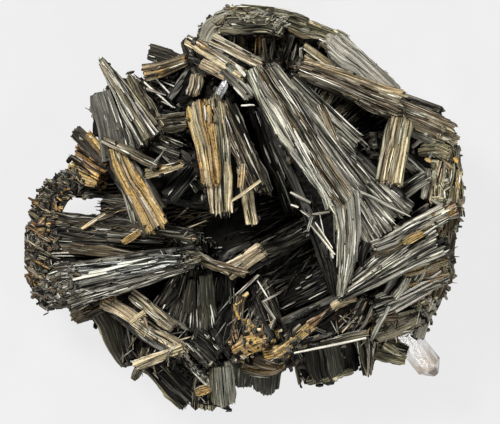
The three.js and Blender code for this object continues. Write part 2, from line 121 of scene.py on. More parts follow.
class Look(Enum):
    """The finishes that goethite laths come in."""

    PALE = Finish(tone(140, 137, 124), 0.2, 0.05, 0.7, 0.1)
    GREY = Finish(tone(108, 105, 94), 0.3, 0.1, 0.8, 0.1)
    BROWN = Finish(tone(110, 99, 80), 0.3, 0.2, 0.6, 0.05)
    TAN = Finish(tone(152, 138, 110), 0.22, 0.35, 0.55, 0.0, 0.75)
    GOLD = Finish(tone(160, 136, 88), 0.15, 0.75, 0.35, 0.0, 0.55)
    RUST = Finish(tone(104, 80, 56), 0.35, 0.7, 0.4, 0.0)
    OLIVE = Finish(tone(98, 93, 74), 0.3, 0.2, 0.4, 0.0)
    DARK = Finish(tone(56, 53, 46), 0.4, 0.08, 0.35, 0.1)
    BLACK = Finish(tone(28, 27, 24), 0.4, 0.02, 0.12, 0.15)
    SILVER = Finish(tone(128, 128, 124), 0.35, 0.0, 1.0, 0.9)
    WHITE = Finish(tone(200, 198, 184), 0.1, 0.04, 0.4, 0.0, 0.3)
    SMOOTH = Finish(tone(84, 82, 74), 0.1, 0.1, 0.15, 0.05, 0.4)
    BOARD = Finish(tone(142, 138, 126), 0.12, 0.12, 0.2, 0.0, 0.5)
    MOSS = Finish(tone(132, 126, 100), 0.35, 0.25, 0.5, 0.0)
    STONE = Finish(tone(126, 124, 110), 0.15, 0.12, 0.3, 0.05, 0.4)
    SKIN = Finish(tone(70, 69, 62), 0.15, 0.15, 0.2, 0.1, 0.35)
    CLAY = Finish(tone(124, 116, 94), 0.12, 0.3, 0.3, 0.0, 0.45)
    SLATE = Finish(tone(52, 49, 41), 0.25, 0.1, 0.2, 0.05, 0.45)
    BARK = Finish(tone(82, 73, 57), 0.35, 0.35, 0.3, 0.0, 0.8)


class Kind(Enum):
    """The shapes of a single lath, and the numbers of each one's variants."""

    LATH = (0, 4)
    SPLINTER = (4, 7)
    PLATE = (7, 11)
    NEEDLE = (11, 14)
    CRUMB = (14, 17)


class Shape(Enum):
    """The outlines of a blade: the width left at its tip, and how round its root and its tip are."""

    TORN = (1.0, 0.0, 0.0)
    POINTED = (0.14, 0.0, 0.0)
    TAPERED = (0.5, 0.0, 0.3)
    ROUND_TIP = (0.9, 0.0, 0.9)
    ROUND_ROOT = (1.0, 0.9, 0.0)
    LOBE = (0.8, 0.7, 0.9)
    DOME = (0.8, 0.0, 1.5)


# Every finish, lath and outline goes by its short name in the lists of parts.
(
    PALE, GREY, BROWN, TAN, GOLD, RUST, OLIVE, DARK, BLACK, SILVER,
    WHITE, SMOOTH, BOARD, MOSS, STONE, SKIN, CLAY, SLATE, BARK,
) = Look
LATH, SPLINTER, PLATE, NEEDLE, CRUMB = Kind
TORN, POINTED, TAPERED, ROUND_TIP, ROUND_ROOT, LOBE, DOME = Shape


@dataclass(frozen=True)
class Blade:
    """Laths grown side by side, from a root line to a tip line."""

    look: Look  # the finish of its laths
    root: Point  # the middle of its root
    tip: Point  # the middle of its tip
    width: Range  # at its root and at its tip
    thick: float = 2.0  # at its root
    lath: float = 0.6  # one lath's width
    ragged: float = 1.2  # how far short of the tip line a lath may end
    roll: float = 0.0  # about its length, in degrees
    # Finishes of other laths, and between which shares of the width they lie. The first one counts.
    streaks: tuple[tuple[Look, float, float], ...] = ()
    taper: float = 0.55  # how much of its thickness is left at the tip
    fuzz: float = 1.0  # loose slivers on it, as a share of the usual number
    shape: Shape = TORN
    bow: float = 0.0  # how far its middle is bent to the left of the line from root to tip

    @property
    def single(self) -> bool:
        """Whether it is one lath alone."""
        return max(self.width) <= 1.3 * self.lath

    @property
    def length(self) -> float:
        """How long it is."""
        return float(np.linalg.norm(np.array(self.tip, float) - np.array(self.root, float)))

    def axes(self) -> Axes:
        """The unit vectors along its length, across its width and out of its broad face."""
        along = np.array(self.tip, float) - np.array(self.root, float)
        along = along / np.linalg.norm(along)
        upright = abs(along[2]) > 0.95
        reference = np.array([0.0, 1.0, 0.0]) if upright else np.array([0.0, 0.0, 1.0])
        across = np.cross(reference, along)
        across /= np.linalg.norm(across)
        turn = math.radians(self.roll)
        across = across * math.cos(turn) + np.cross(along, across) * math.sin(turn)
        return along, across, np.cross(along, across)

    def width_at(self, share: Array) -> Array:
        """Its width at shares of its length. The last part of it narrows to what its outline leaves."""
        left = self.shape.value[0]
        narrow = 1 - (1 - left) * np.clip((share - 0.3) / 0.7, 0, 1) ** 1.4
        return (self.width[0] + (self.width[1] - self.width[0]) * share) * narrow

    def thick_at(self, share: Array) -> Array:
        """How much of its thickness is left at shares of its length."""
        return 1 + (self.taper - 1) * share

    def bend(self, share: Array) -> Array:
        """How far it is bent aside at shares of its length, as a parabola."""
        return 4 * self.bow * share * (1 - share)

    def rounding(self, share: Array) -> tuple[Array, Array]:
        """How far its round root and its round tip are drawn in at shares of its width."""
        left, root_round, tip_round = self.shape.value
        arc = 0.5 * (1 - np.sqrt(np.clip(1 - (2 * share - 1) ** 2, 0, 1)))
        return root_round * self.width[0] * arc, tip_round * left * self.width[1] * arc

    def look_at(self, share: float) -> Look:
        """The finish of the lath at this share of its width."""
        for look, low, high in self.streaks:
            if low <= share <= high:
                return look
        return self.look

    def place(self, reach: Array, side: Array, rise: Array) -> Array:
        """Points of it, from how far along, aside and out of its middle plane they lie."""
        steps = zip((reach, side, rise), self.axes())
        return sum((far[..., None] * way for far, way in steps), start=np.array(self.root))


def stick(look: Look, root: Point, tip: Point, width: float = 0.9) -> Blade:
    """A single lath that lies across the others."""
    return Blade(look, root, tip, (width, 0.85 * width), 0.8 * width, width, 0.0, taper=0.9, fuzz=0.0)


class Stump(Blade):
    """A thick block of laths under a fan, which shows only at its sides and ends."""


# The great fan on top: its apex is at the back and it spreads to the front right.
MAIN_FAN = (
    Blade(PALE, (1.6, 27.4, 41), (11.8, 9.6, 39.2), (2.6, 3.6), 2.8, 1.7, 0.3, bow=-0.9),
    Blade(PALE, (10, 12, 39.6), (18.6, 1, 38.1), (3.6, 3.4), 2.8, 1.5, 0.3),
    Blade(GREY, (4, 27.4, 41.1), (21.4, 1, 38.2), (5, 10.4), 3.4, 0.55, 3.5,
          streaks=((PALE, 0, 0.18), (RUST, 0.22, 0.29), (BROWN, 0.18, 0.38), (BROWN, 0.5, 0.6))),
    Blade(GREY, (8, 25.2, 40.5), (22.4, 10.8, 37.5), (4.6, 6), 3, 0.5, 2.5),
    Blade(STONE, (18.6, 7, 38.1), (18.9, -17.8, 35.6), (6, 5.4), 2.6, 0.6, 0.8,
          streaks=((BROWN, 0.4, 0.5), (WHITE, 0.93, 1)), shape=POINTED, bow=1.6),
    Blade(BLACK, (13.4, 3, 36.8), (18.2, -17.4, 34.6), (6.4, 2.4), 1.4, 0.8, 0.6, fuzz=0.2),
    Blade(GREY, (17.6, 6.4, 38), (25.2, -8, 35.5), (6, 8), 2.8, 0.55, 3),
    Blade(GREY, (19, 9.4, 37.6), (31, -3, 34.5), (5.6, 7), 2.8, 0.55, 3),
    Blade(BROWN, (14.8, 20.6, 40.6), (18.8, 11.4, 39.4), (1, 1.8), 1.4, 0.7, 0.4, shape=TAPERED),
    Blade(BLACK, (22.6, -11.4, 37), (24, -6.8, 37.2), (0.5, 2.4), 1, 0.7, 0.2, fuzz=0),
    stick(PALE, (21, 4, 38.8), (32.6, -1.6, 36.6), 0.55),
)

# The sheaf that crosses behind the great fan, and the broad plates behind and above it.
BACK_SHEAF = (
    Blade(BROWN, (10, 28.4, 38.4), (31, 20.2, 35.6), (3.2, 6), 5, 0.65, 1, roll=-10,
          streaks=((TAN, 0.75, 0.95),), shape=ROUND_ROOT),
    Blade(BROWN, (22, 23.1, 36.4), (41.6, 14.6, 28.6), (4.4, 4.8), 5, 0.6, 2),
    Blade(BOARD, (16.6, 34, 32), (30, 22.4, 31), (5.4, 3.4), 2.6, 2.6, 0.4, -16, shape=ROUND_ROOT),
    Blade(DARK, (18.6, 33.6, 26), (28.2, 22.6, 24), (5, 5), 2.6, 0.8, 1, -65),
    Blade(BLACK, (20, 13, 16.4), (31, 18.2, 16.4), (6, 6), 2.4, 0.7, 1, 25),
)

# The curved hood along the back rim, and the wall of the hollow under it.
HOOD = (
    Blade(STONE, (-7.4, 31.2, 25.8), (-0.6, 38.6, 29.8), (4.2, 3.4), 5, 2, 0.2, -15, fuzz=0.3, shape=LOBE,
          bow=2.3),
    Blade(OLIVE, (-3.8, 37.9, 29.6), (13.4, 35.6, 31.5), (4, 4.2), 5, 0.5, 1.6, -8,
          streaks=((STONE, 0.2, 0.32), (STONE, 0.55, 0.7), (MOSS, 0.85, 1)), fuzz=1.5, shape=LOBE, bow=1.1),
    Blade(OLIVE, (8.6, 36.3, 30.7), (20.6, 32.6, 30.8), (3.8, 3.4), 5, 0.6, 1.4, -8,
          streaks=((BARK, 0, 0.3), (MOSS, 0.6, 1)), fuzz=1.5, shape=LOBE, bow=0.5),
    Blade(OLIVE, (-5, 35.2, 29.4), (8, 34.8, 32.2), (1.6, 1.8), 2.2, 0.7, 1, -10, bow=0.7),
    Blade(BLACK, (-7.6, 29, 12), (-5, 36.8, 27), (7, 6), 3, 0.8, 2),
    Blade(DARK, (1, 28, 12), (3, 37.8, 28), (9, 9), 3, 0.8, 2, streaks=((BARK, 0.2, 0.4),)),
    Blade(DARK, (11, 27, 13), (14.6, 35.4, 29), (9, 9), 3, 0.8, 2, streaks=((GREY, 0.5, 0.7),)),
    stick(TAN, (17.6, 28, 31.4), (11.8, 32.2, 32.4), 1.5),
    stick(BROWN, (-1.4, 31.4, 24), (-1.8, 36, 30), 1.2),
    stick(RUST, (2.6, 30.2, 24), (2.8, 34.2, 29), 1.2),
    stick(DARK, (8, 30, 26), (9.4, 34, 31), 1),
    stick(PALE, (-4.6, 31, 25), (-5.2, 35, 29.4), 0.6),
    stick(GREY, (5.4, 30, 25), (6, 34.6, 30), 0.8),
    stick(GREY, (-3.2, 31.6, 25), (-2.8, 36, 29.8), 0.8),
    stick(BARK, (4.4, 30, 25.4), (3.8, 33.8, 29.6), 0.9),
    stick(PALE, (9.4, 29.6, 28), (10.4, 32.6, 30.4), 0.6),
    stick(PALE, (11.2, 29.2, 28.4), (11.2, 31.8, 30.4), 0.7),
    stick(TAN, (12, 30.4, 29.4), (15, 28.4, 31), 0.9),
)

# Laths that cross over each other at the head of the great fan.
CROSSING = (
    Blade(TAN, (-12, 33.8, 33), (0.4, 25.8, 38), (2, 2.4), 2, 0.7, 0.6,
          streaks=((BROWN, 0.35, 0.6), (CLAY, 0.8, 1))),
    Blade(BROWN, (-6.6, 33.4, 34.4), (3.6, 28, 38.4), (2.2, 2.2), 2.8, 0.8, 0.4),
    Blade(TAN, (-8.6, 29, 35), (-3.6, 26, 36.6), (2, 1.8), 1.8, 0.9, 0.3),
    Blade(GREY, (-4, 28.2, 37.4), (1.6, 21.4, 35.6), (2.4, 3), 2.2, 0.6, 1.4),
    stick(WHITE, (-1.6, 28.2, 39.4), (1.2, 25, 39.8), 0.8),
    stick(GOLD, (-9.8, 33.2, 34.4), (-7.4, 31.6, 35), 1.2),
)

# The ragged back left shoulder: dark stubs, a pale one across them, and the hollow in front of them.
LEFT_SHOULDER = (
    Blade(SLATE, (-11.6, 28.8, 27.6), (-19.2, 31.4, 26.6), (2.6, 3.4), 2.4, 1.6, 0.2),
    Blade(BARK, (-11.4, 29.6, 30.4), (-20.4, 26.8, 28), (2.4, 3), 1.8, 1.2, 0.4),
    Blade(SLATE, (-8, 26, 29.6), (-12, 33.8, 28), (4.4, 3), 3.2, 1.2, 0.6, shape=TAPERED),
    Blade(BLACK, (-21.6, 21, 22.6), (-11, 27, 27.4), (2, 2.6), 1.8, 0.7, 1),
    Blade(BLACK, (-8, 15, 30), (-17.8, 18.8, 29), (2.6, 2.8), 2.6, 0.6, 1),
    Blade(BROWN, (-10.2, 22.2, 30.6), (-9.6, 26.8, 31.6), (3, 2.8), 2.2, 0.8, 0.3, shape=LOBE),
    Blade(OLIVE, (-17.6, 28.2, 28.6), (-20.6, 27.6, 28.4), (1.2, 1.4), 1.2, 0.8, 0.3),
    Blade(BLACK, (-12, 21.6, 25), (-20, 25, 24), (6, 5), 2, 0.8, 1, fuzz=2),
    stick(WHITE, (-14.6, 20, 26), (-20.2, 25.2, 26.6), 0.35),
    stick(WHITE, (-13.4, 21, 26.4), (-18.6, 26.6, 26.8), 0.35),
    stick(PALE, (-16, 22.6, 26.4), (-20.2, 24, 26.6), 0.5),
    stick(WHITE, (-12.6, 23.6, 26.6), (-17, 25.6, 26.8), 0.3),
)

# The pointed blade that stands out at the back left, and the flat grey one beside it.
LEFT_BLADES = (
    Blade(PALE, (-18.6, 13.6, 31.6), (-28.6, 29.2, 27), (5.4, 5), 3, 0.9, 0.3,
          streaks=((OLIVE, 0, 0.18), (CLAY, 0.45, 0.75), (BLACK, 0.8, 0.88)), shape=POINTED),
    Blade(OLIVE, (-17.4, 15.4, 30.4), (-23.4, 26.4, 27.4), (4, 3.6), 2.4, 0.9, 0.8, shape=POINTED),
    Blade(PALE, (-20.8, 11.4, 29.6), (-27.2, 24.4, 26.4), (3, 2.2), 2, 0.4, 1,
          streaks=((BLACK, 0.2, 0.34), (BLACK, 0.55, 0.7))),
    Blade(SMOOTH, (-25.4, 9.6, 30.4), (-29, 23, 28), (5.6, 4.4), 2.4, 3, 0.2, shape=ROUND_TIP),
    Blade(SLATE, (-22.2, 2.4, 30.8), (-27.4, 14, 29.8), (2, 3.4), 2.6, 0.9, 0.5),
    Blade(SLATE, (-28, 9.6, 22.4), (-34.4, 15.4, 20.4), (3, 2.6), 2, 1.6, 0.2),
    Blade(GOLD, (-26.6, 9, 25.4), (-31.8, 15, 24), (1.8, 1.6), 2.4, 0.8, 0.4),
    Blade(RUST, (-27.6, 7, 22.8), (-34.6, 11.4, 19), (4.4, 3.6), 2.8, 0.7, 1.8,
          streaks=((BLACK, 0.3, 0.45), (DARK, 0.6, 0.7))),
    Blade(GOLD, (-28.4, 5, 19), (-35.4, 8.4, 15.6), (3.6, 3), 4, 0.9, 0.6, shape=ROUND_TIP),
)

# The golden blade, and the laths that cross it.
GOLDEN_BLADE = (
    Blade(GOLD, (-26, 12.2, 33.2), (-17.6, -4, 31.4), (3.4, 6), 3, 1, 0.5,
          streaks=((TAN, 0.4, 0.62), (BARK, 0, 0.1)), fuzz=0.4),
    Blade(BARK, (-17, 8.2, 35), (-28.4, 13.6, 34.6), (2, 1.5), 1.6, 1, 0.4),
    Blade(TAN, (-19.8, 6.8, 32.6), (-12.4, 8.8, 35.4), (2.2, 1.6), 2, 0.9, 0.4, shape=TAPERED),
    Blade(DARK, (-12.6, 11.4, 29.4), (-21.6, 14.6, 29), (3.4, 3.4), 2.2, 0.6, 1),
    Blade(DARK, (-8, 4, 29), (-17.4, 14.8, 28.6), (3.4, 4.4), 2.4, 0.6, 1.4),
    Blade(BARK, (-19, 16.6, 30), (-11.6, 17, 31), (3, 3.8), 1.6, 1.6, 0.3, shape=ROUND_ROOT),
    Blade(GREY, (-25.4, 11, 32.8), (-22.2, -3, 31.2), (1.2, 1), 1.4, 0.6, 0.5),
    Blade(BLACK, (-9.6, 8.4, 30), (-16, 1.4, 29), (3, 4), 2, 0.7, 1.4),
    stick(PALE, (-18.6, 8, 35.2), (-16, 11.6, 36.2), 0.5),
)

# The fan left of the middle.
MIDDLE_FAN = (
    Blade(GOLD, (-9, 21.4, 37.8), (-6.6, 4.4, 36.8), (5.6, 3.4), 3.6, 1, 0.8, streaks=((TAN, 0.2, 0.55),),
          shape=ROUND_ROOT, fuzz=0.4),
    Blade(TAN, (-6, 21.8, 38), (-4.6, -1.4, 34.6), (4.4, 5), 3.2, 0.9, 0.8, streaks=((OLIVE, 0.5, 0.75),),
          shape=ROUND_ROOT, fuzz=0.5),
    Blade(BROWN, (-4.6, 20.8, 37.6), (2.8, 3.4, 33.8), (3.8, 4.4), 3, 0.6, 1.6,
          streaks=((DARK, 0.4, 0.5), (DARK, 0.8, 1))),
    Blade(TAN, (-0.6, 8, 35.2), (1.6, -3.4, 32), (2.2, 2.4), 2.2, 0.6, 0.8),
    Blade(DARK, (-2.6, 20.4, 35.6), (5.4, 2.6, 32.6), (1.4, 1.6), 2, 0.5, 1),
    Blade(TAN, (-0.6, 8.4, 37), (-1, 4, 36.8), (1.2, 1.2), 1.4, 1.6, 0.2),
    stick(TAN, (-2.6, 1.4, 36.4), (3.2, 5.4, 37.2), 0.7),
    stick(WHITE, (-0.8, 20.2, 37.6), (1.8, 20.4, 36.8), 0.35),
)

# The loop round the hole at the left end.
LEFT_LOOP = (
    Blade(DARK, (-31.2, 7.8, 12.6), (-41.2, -4.4, 11.8), (4, 5.2), 6, 0.8, 0.6, taper=1, bow=-1.9),
    Blade(DARK, (-41, -2, 11.6), (-37.6, -20.4, 11.8), (5.2, 4.6), 6, 0.8, 0.6,
          streaks=((MOSS, 0, 0.06), (BARK, 0.4, 0.6)), taper=1, bow=-1.9),
    Blade(RUST, (-42.6, -5.2, 14), (-44.4, -5.2, 13.4), (1.8, 1.1), 1.8, 0.6, 0.3),
    Blade(DARK, (-22, 4.4, 15), (-34.6, 4, 12), (4.4, 4.2), 5, 0.7, 1),
    Blade(DARK, (-20, -0.6, 18), (-29, 0.4, 15), (6, 5), 5, 0.7, 1),
)

# Short rusty laths that lie slanting across the loop, like rungs.
RUNG_LOOKS = (RUST, BROWN, TAN, BARK, OLIVE, BROWN, RUST)
LOOP_RUNGS = tuple(
    stick(
        RUNG_LOOKS[k % len(RUNG_LOOKS)], (-43.6 + 1.1 * (k % 3), 2.2 - 0.95 * k, 15.7),
        (-41.6 + 1.2 * (k % 3), 0.9 - 0.95 * k, 16.3), 0.55,
    )
    for k in range(18)
)

# Dark laths below the hole, running in to the middle.
LEFT_BUNDLE = (
    Blade(
        DARK, (-10, -6.6, 23), (-39.4, -3.4, 13.6), (5, 5.8), 4.4, 0.6, 3,
        streaks=((BROWN, 0.3, 0.42), (BLACK, 0.6, 0.8)),
    ),
    Blade(DARK, (-12, -9, 20), (-40, -9.6, 12.6), (5, 6.6), 5, 0.6, 3,
          streaks=((BROWN, 0.2, 0.4), (BLACK, 0.5, 0.7))),
    stick(TAN, (-28, -1.2, 19), (-32.8, -4.2, 18.2), 0.7),
    stick(BARK, (-26.4, -1.4, 19.2), (-29.6, -2.4, 18.8), 0.8),
    stick(GOLD, (-24.4, -6.8, 22.8), (-21.2, -4.8, 24.6), 1.2),
    Blade(BARK, (-22, -9.4, 22), (-35.8, -8, 17.6), (1.4, 2.2), 1.6, 0.7, 0.8),
    Blade(DARK, (-16, -6.4, 24.6), (-28, -5.4, 21.4), (1.6, 2.6), 1.6, 0.6, 1.4),
)

# The grey fan with a metallic shine, its apex near the middle.
SILVER_FAN = (
    Blade(GREY, (-11.8, -11.4, 27.8), (-36, -17.4, 21.8), (2.4, 6.6), 3.4, 0.7, 2),
    Blade(SILVER, (-12.6, -10.4, 28.6), (-34.4, -13.6, 23.4), (2.2, 4.6), 3, 0.6, 2, fuzz=1.5),
    Blade(DARK, (-33, -14.6, 20.4), (-40, -16.4, 14.8), (7.4, 6), 3.4, 0.7, 2,
          streaks=((GREY, 0.1, 0.3), (GREY, 0.5, 0.7))),
    Blade(SMOOTH, (-33.4, -17.8, 17.4), (-40, -18.8, 13.8), (3, 3), 2.4, 2, 0.2, shape=LOBE, fuzz=0.2),
    # The white and pale sticks along its upper third are painted highlights of its metallic shine.
    stick(WHITE, (-34.4, -14.4, 24.8), (-27.6, -12.8, 26.4), 0.5),
    stick(WHITE, (-31, -13, 25.6), (-22.4, -11, 27.8), 0.6),
    stick(WHITE, (-25.4, -11.2, 27.2), (-18.6, -9.8, 28.6), 0.5),
    stick(PALE, (-33, -15.2, 25), (-25, -13, 27), 0.5),
    Blade(OLIVE, (-12.4, -10.2, 28.6), (-8.8, -9.4, 28.6), (2.8, 2.2), 2.2, 0.9, 0.3, shape=LOBE),
    Blade(BARK, (-28, -19, 19.4), (-35, -21.6, 13.6), (3.4, 3.4), 4, 0.9, 1),
    Blade(RUST, (-26, -18.4, 21.6), (-32.4, -20.2, 17.4), (2.2, 2), 1.6, 0.8, 0.8),
)

# The front left edge: dark blades below, brown laths above them.
FRONT_LEFT = (
    Blade(SLATE, (-29, -20, 15.6), (-24.2, -31.6, 10), (5, 4.4), 3.4, 1.2, 0.4, streaks=((MOSS, 0, 0.06),),
          fuzz=0, shape=TAPERED),
    Blade(BLACK, (-23.6, -18, 13.6), (-21, -30.6, 11), (6, 5.4), 3.4, 0.9, 1, fuzz=0.4),
    Blade(DARK, (-12.6, -12.8, 24), (-17.4, -20, 20.4), (2, 3.4), 2, 0.6, 1.6),
    Blade(TAN, (-28.6, -18.2, 20.4), (-12, -29, 23.4), (3, 2.6), 2.6, 1.2, 0.8, fuzz=0.4),
    Blade(BROWN, (-23, -17, 22.6), (-14.4, -24, 24.4), (2.4, 2.8), 2.6, 1.3, 0.3, shape=ROUND_TIP),
    Blade(TAN, (-12, -28, 24), (-22.2, -31.8, 19.4), (1.6, 2), 2, 1.1, 0.4),
    Blade(OLIVE, (-19.6, -29, 16), (-22.4, -34.4, 11.8), (2.4, 1.6), 2.2, 1, 0.3, shape=POINTED),
    Blade(BLACK, (-18.6, -29.6, 15), (-10, -37.9, 12.6), (6.6, 8.2), 3.4, 1.6, 0.3,
          streaks=((MOSS, 0, 0.06), (GREY, 0.22, 0.26), (OLIVE, 0.42, 0.46)), fuzz=0.2),
    Blade(OLIVE, (-15.6, -36, 12.4), (-6.4, -39.8, 12.8), (1.8, 2), 1.8, 0.9, 0.4),
    Blade(PALE, (-13.4, -29.4, 17.4), (-6.2, -36.6, 14.6), (1.6, 1.8), 2.6, 0.9, 0.5),
    Blade(STONE, (-4.8, -31.4, 16), (-4.2, -40, 13.2), (4.6, 5.4), 3.4, 1.8, 0.3,
          streaks=((OLIVE, 0, 0.2), (GREY, 0.5, 0.7)), shape=ROUND_TIP, fuzz=0.2),
    Blade(DARK, (-11.6, -25, 19), (-5.4, -31, 17.4), (5, 5.4), 3, 0.6, 1.5,
          streaks=((GREY, 0.3, 0.42), (BLACK, 0.5, 0.8))),
    Blade(OLIVE, (-8, -31.6, 14.4), (-8.4, -40.6, 12.6), (4, 5), 2.4, 1.2, 0.4),
    stick(TAN, (-22.6, -23, 25.4), (-19.8, -20.8, 26.6), 1),
    stick(BROWN, (-20, -22, 26.2), (-19.2, -24.4, 26.2), 0.6),
    stick(BROWN, (-19.2, -24.4, 26.2), (-20, -25.7, 25.8), 0.6),
    stick(BARK, (-21.8, -24.4, 25.6), (-20, -25.7, 25.8), 0.6),
    stick(GOLD, (-9.8, -37.2, 15.2), (-7.2, -36.4, 15.6), 2),
)

# The front middle: dark upright blades, golden blocks and rounded dark lobes at the edge.
FRONT_MIDDLE = (
    Blade(DARK, (-12, -12.8, 23.6), (-14.4, -24.6, 17.4), (2.4, 4.6), 2.4, 0.8, 2),
    Blade(DARK, (-9.4, -12, 23.4), (-9.4, -26.4, 16.6), (3.4, 5.2), 2.4, 0.8, 2),
    Blade(BLACK, (-4.8, -13, 22), (-4, -26.8, 15.4), (4, 5.6), 2.4, 0.8, 2),
    Blade(SLATE, (-8, -13, 24.6), (-6.4, -24.6, 19), (2.2, 3), 2.2, 1.4, 0.4),
    Blade(SLATE, (-10.6, -14, 24.4), (-11.6, -21, 20.4), (1.6, 2), 1.6, 1, 0.6),
    Blade(BARK, (-0.8, -17.4, 23), (-1.8, -25.6, 20.4), (2, 2.4), 2, 0.9, 0.8),
    Blade(GOLD, (-1.8, -29, 21.6), (4, -26, 23.6), (3.4, 3), 3, 1.3, 0.6, shape=LOBE),
    Blade(GOLD, (3.6, -29.4, 21), (9.4, -28.2, 22), (2.6, 2.4), 2.4, 1.2, 0.6, shape=LOBE),
    Blade(BARK, (1, -30, 19.4), (6.8, -32, 17), (3, 3), 3, 1.2, 0.8, shape=LOBE),
    Blade(BROWN, (-1.4, -31, 16.6), (8.2, -31.4, 17.2), (2.8, 3), 2.4, 0.6, 0.6,
          streaks=((GOLD, 0.3, 0.65), (BLACK, 0.8, 0.9)), shape=LOBE, bow=-1.5),
    Blade(SKIN, (0.4, -28, 16), (-0.6, -35.6, 11), (5, 4.6), 6, 2.6, 0.1, shape=DOME, fuzz=0),
    Blade(SKIN, (4.4, -28, 16.4), (4.2, -37, 10.8), (6.8, 6), 6, 1.5, 0.1, shape=DOME, fuzz=0),
    Blade(TAN, (-3.6, -13, 24), (3.6, -8.2, 26), (3.2, 3.4), 2.6, 0.7, 0.8),
    Blade(BARK, (-8.8, -10.4, 26.6), (0.6, -13.2, 25.4), (1.6, 2), 1.4, 0.7, 0.6),
    Blade(DARK, (8, -32.2, 14.6), (2.6, -14.4, 21.6), (6, 4), 2.6, 0.8, 1),
    Blade(BROWN, (-9.4, -9.2, 26.8), (-3, -13, 25.8), (1.2, 1.4), 1.2, 0.6, 0.4),
    stick(PALE, (-2, -17.8, 22.4), (2.6, -13.4, 23.4), 0.7),
    stick(GOLD, (-1.8, -19.4, 22.8), (0.6, -17, 22.8), 0.9),
    stick(GOLD, (-2.2, -19.4, 22.8), (-1.2, -22.4, 22.4), 0.7),
    stick(PALE, (3.6, -18.8, 21.6), (8, -16.4, 21.8), 0.5),
    stick(WHITE, (2.4, -14.6, 23.2), (5, -18.6, 21.8), 0.3),
    stick(PALE, (3.4, -18.6, 21.6), (6, -22.4, 20.8), 0.6),
    stick(PALE, (6, -22.4, 20.8), (5, -24.4, 20.2), 0.6),
)

# Dark blades in the deep hollow between the fans. Their near-black is partly painted shade of the hollow.
HOLLOW = (
    Blade(DARK, (-1, -11.4, 22), (17.4, -1.2, 20), (5, 5), 2.4, 0.6, 4),
    Blade(BLACK, (3.4, -16, 15), (17, -9, 15), (7, 8), 2.4, 0.7, 3),
    Blade(BLACK, (2.6, 20, 28.6), (11.6, -1, 23), (4, 6), 2.8, 0.7, 2),
    Blade(BLACK, (5, -20, 17), (17.6, -13.6, 16), (5, 6), 2, 0.7, 3),
    Blade(DARK, (2, -9.4, 23.4), (12.4, -5.4, 22), (1.8, 2.4), 1.4, 0.6, 1.6),
    stick(PALE, (9, 3, 38.4), (13, 1, 38.4), 0.6),
    stick(PALE, (9.2, 0.6, 37.6), (10.6, 0, 37.8), 0.6),
    stick(PALE, (11, -0.5, 38), (12.8, -1.8, 38.2), 0.4),
    stick(PALE, (13.2, -1.3, 38.3), (16.8, -0.8, 38.5), 0.4),
    stick(GREY, (13.2, -1.8, 38.1), (12.4, -4.7, 37.6), 0.5),
    stick(PALE, (12.8, -3.2, 38), (17.8, -9.2, 37.6), 0.5),
    stick(WHITE, (13.8, -2.9, 38.1), (17.4, -7.9, 37.8), 0.25),
    stick(BROWN, (14.4, -4.2, 37.8), (17.4, -8.1, 37.6), 0.5),
    stick(WHITE, (17.2, -8.9, 37.5), (17.5, -9.9, 37.3), 0.5),
)

# The front right: a rusty lath, a long pale one, dark blades at the edge and the bed of the quartz.
FRONT_RIGHT = (
    Blade(GOLD, (6.2, -29, 23.4), (13.8, -23.4, 26.2), (2.6, 2), 2.6, 0.9, 1),
    Blade(RUST, (13, -23.4, 26), (18, -19.4, 28), (1.2, 1), 2.2, 0.5, 1, streaks=((BLACK, 0.4, 0.6),)),
    Blade(TAN, (17, -19.8, 28.2), (22.4, -17.4, 29.4), (1.2, 1.4), 1.8, 0.5, 1),
    stick(WHITE, (9.8, -28.9, 26), (24, -26, 28), 0.5),
    Blade(OLIVE, (14.6, -27.2, 26), (24.8, -25, 27.6), (0.8, 2), 1.2, 0.6, 0.4,
          streaks=((PALE, 0.8, 1), (BLACK, 0.4, 0.6))),
    Blade(SLATE, (14.8, -26, 20), (17, -35, 13.4), (7.6, 9.4), 5, 1.4, 0.2,
          streaks=((BLACK, 0.3, 0.4), (SKIN, 0.6, 0.9)), fuzz=0, shape=DOME),
    Blade(BLACK, (19.4, -26, 19), (21, -33, 13.6), (5, 4), 4, 1.8, 0.4, fuzz=0),
    Blade(MOSS, (12.4, -35, 14.6), (22, -32.6, 16), (1.1, 1.3), 1.4, 0.8, 0.3, shape=LOBE, fuzz=0, bow=-0.5),
    stick(BARK, (9.8, -28.6, 17.4), (11.2, -35.4, 13.6), 1),
    stick(DARK, (8, -29, 17), (9.4, -33, 14.4), 0.9),
    Blade(OLIVE, (24, -25, 21.8), (24.8, -33.4, 15.8), (5, 3.4), 3, 0.7, 0.3,
          streaks=((BLACK, 0.3, 0.4), (PALE, 0.6, 0.7)), shape=POINTED),
    Blade(CLAY, (25.4, -25.4, 22.8), (35, -21.8, 22.4), (3.8, 4.4), 4, 2.2, 0.4, shape=LOBE, fuzz=0.3),
    Blade(BROWN, (24.8, -22.4, 24.4), (31, -21.6, 24), (1.8, 2.2), 1.6, 0.8, 0.8),
    Blade(BOARD, (35, -25.6, 18), (37.6, -17.6, 20.6), (2.6, 2.6), 4, 1.4, 0.4),
    Blade(OLIVE, (25.6, -27.4, 18.6), (32.6, -29.8, 16.8), (5, 4), 4.4, 0.9, 0.6),
    Blade(MOSS, (27.6, -27, 20.4), (31, -29.6, 18.6), (2, 1.6), 1.6, 1, 0.2, shape=LOBE),
    Blade(BROWN, (20, -25, 23.2), (25.8, -18, 27.2), (5, 4.4), 2.8, 0.6, 2),
    Blade(PALE, (24.4, -18.4, 27.6), (20.4, -26, 24.6), (3, 4), 1.6, 0.7, 1.8,
          streaks=((DARK, 0.2, 0.4), (TAN, 0.4, 0.6), (BLACK, 0.6, 0.8))),
    stick(PALE, (25.2, -26.4, 25), (28.8, -19.4, 28), 1),
)

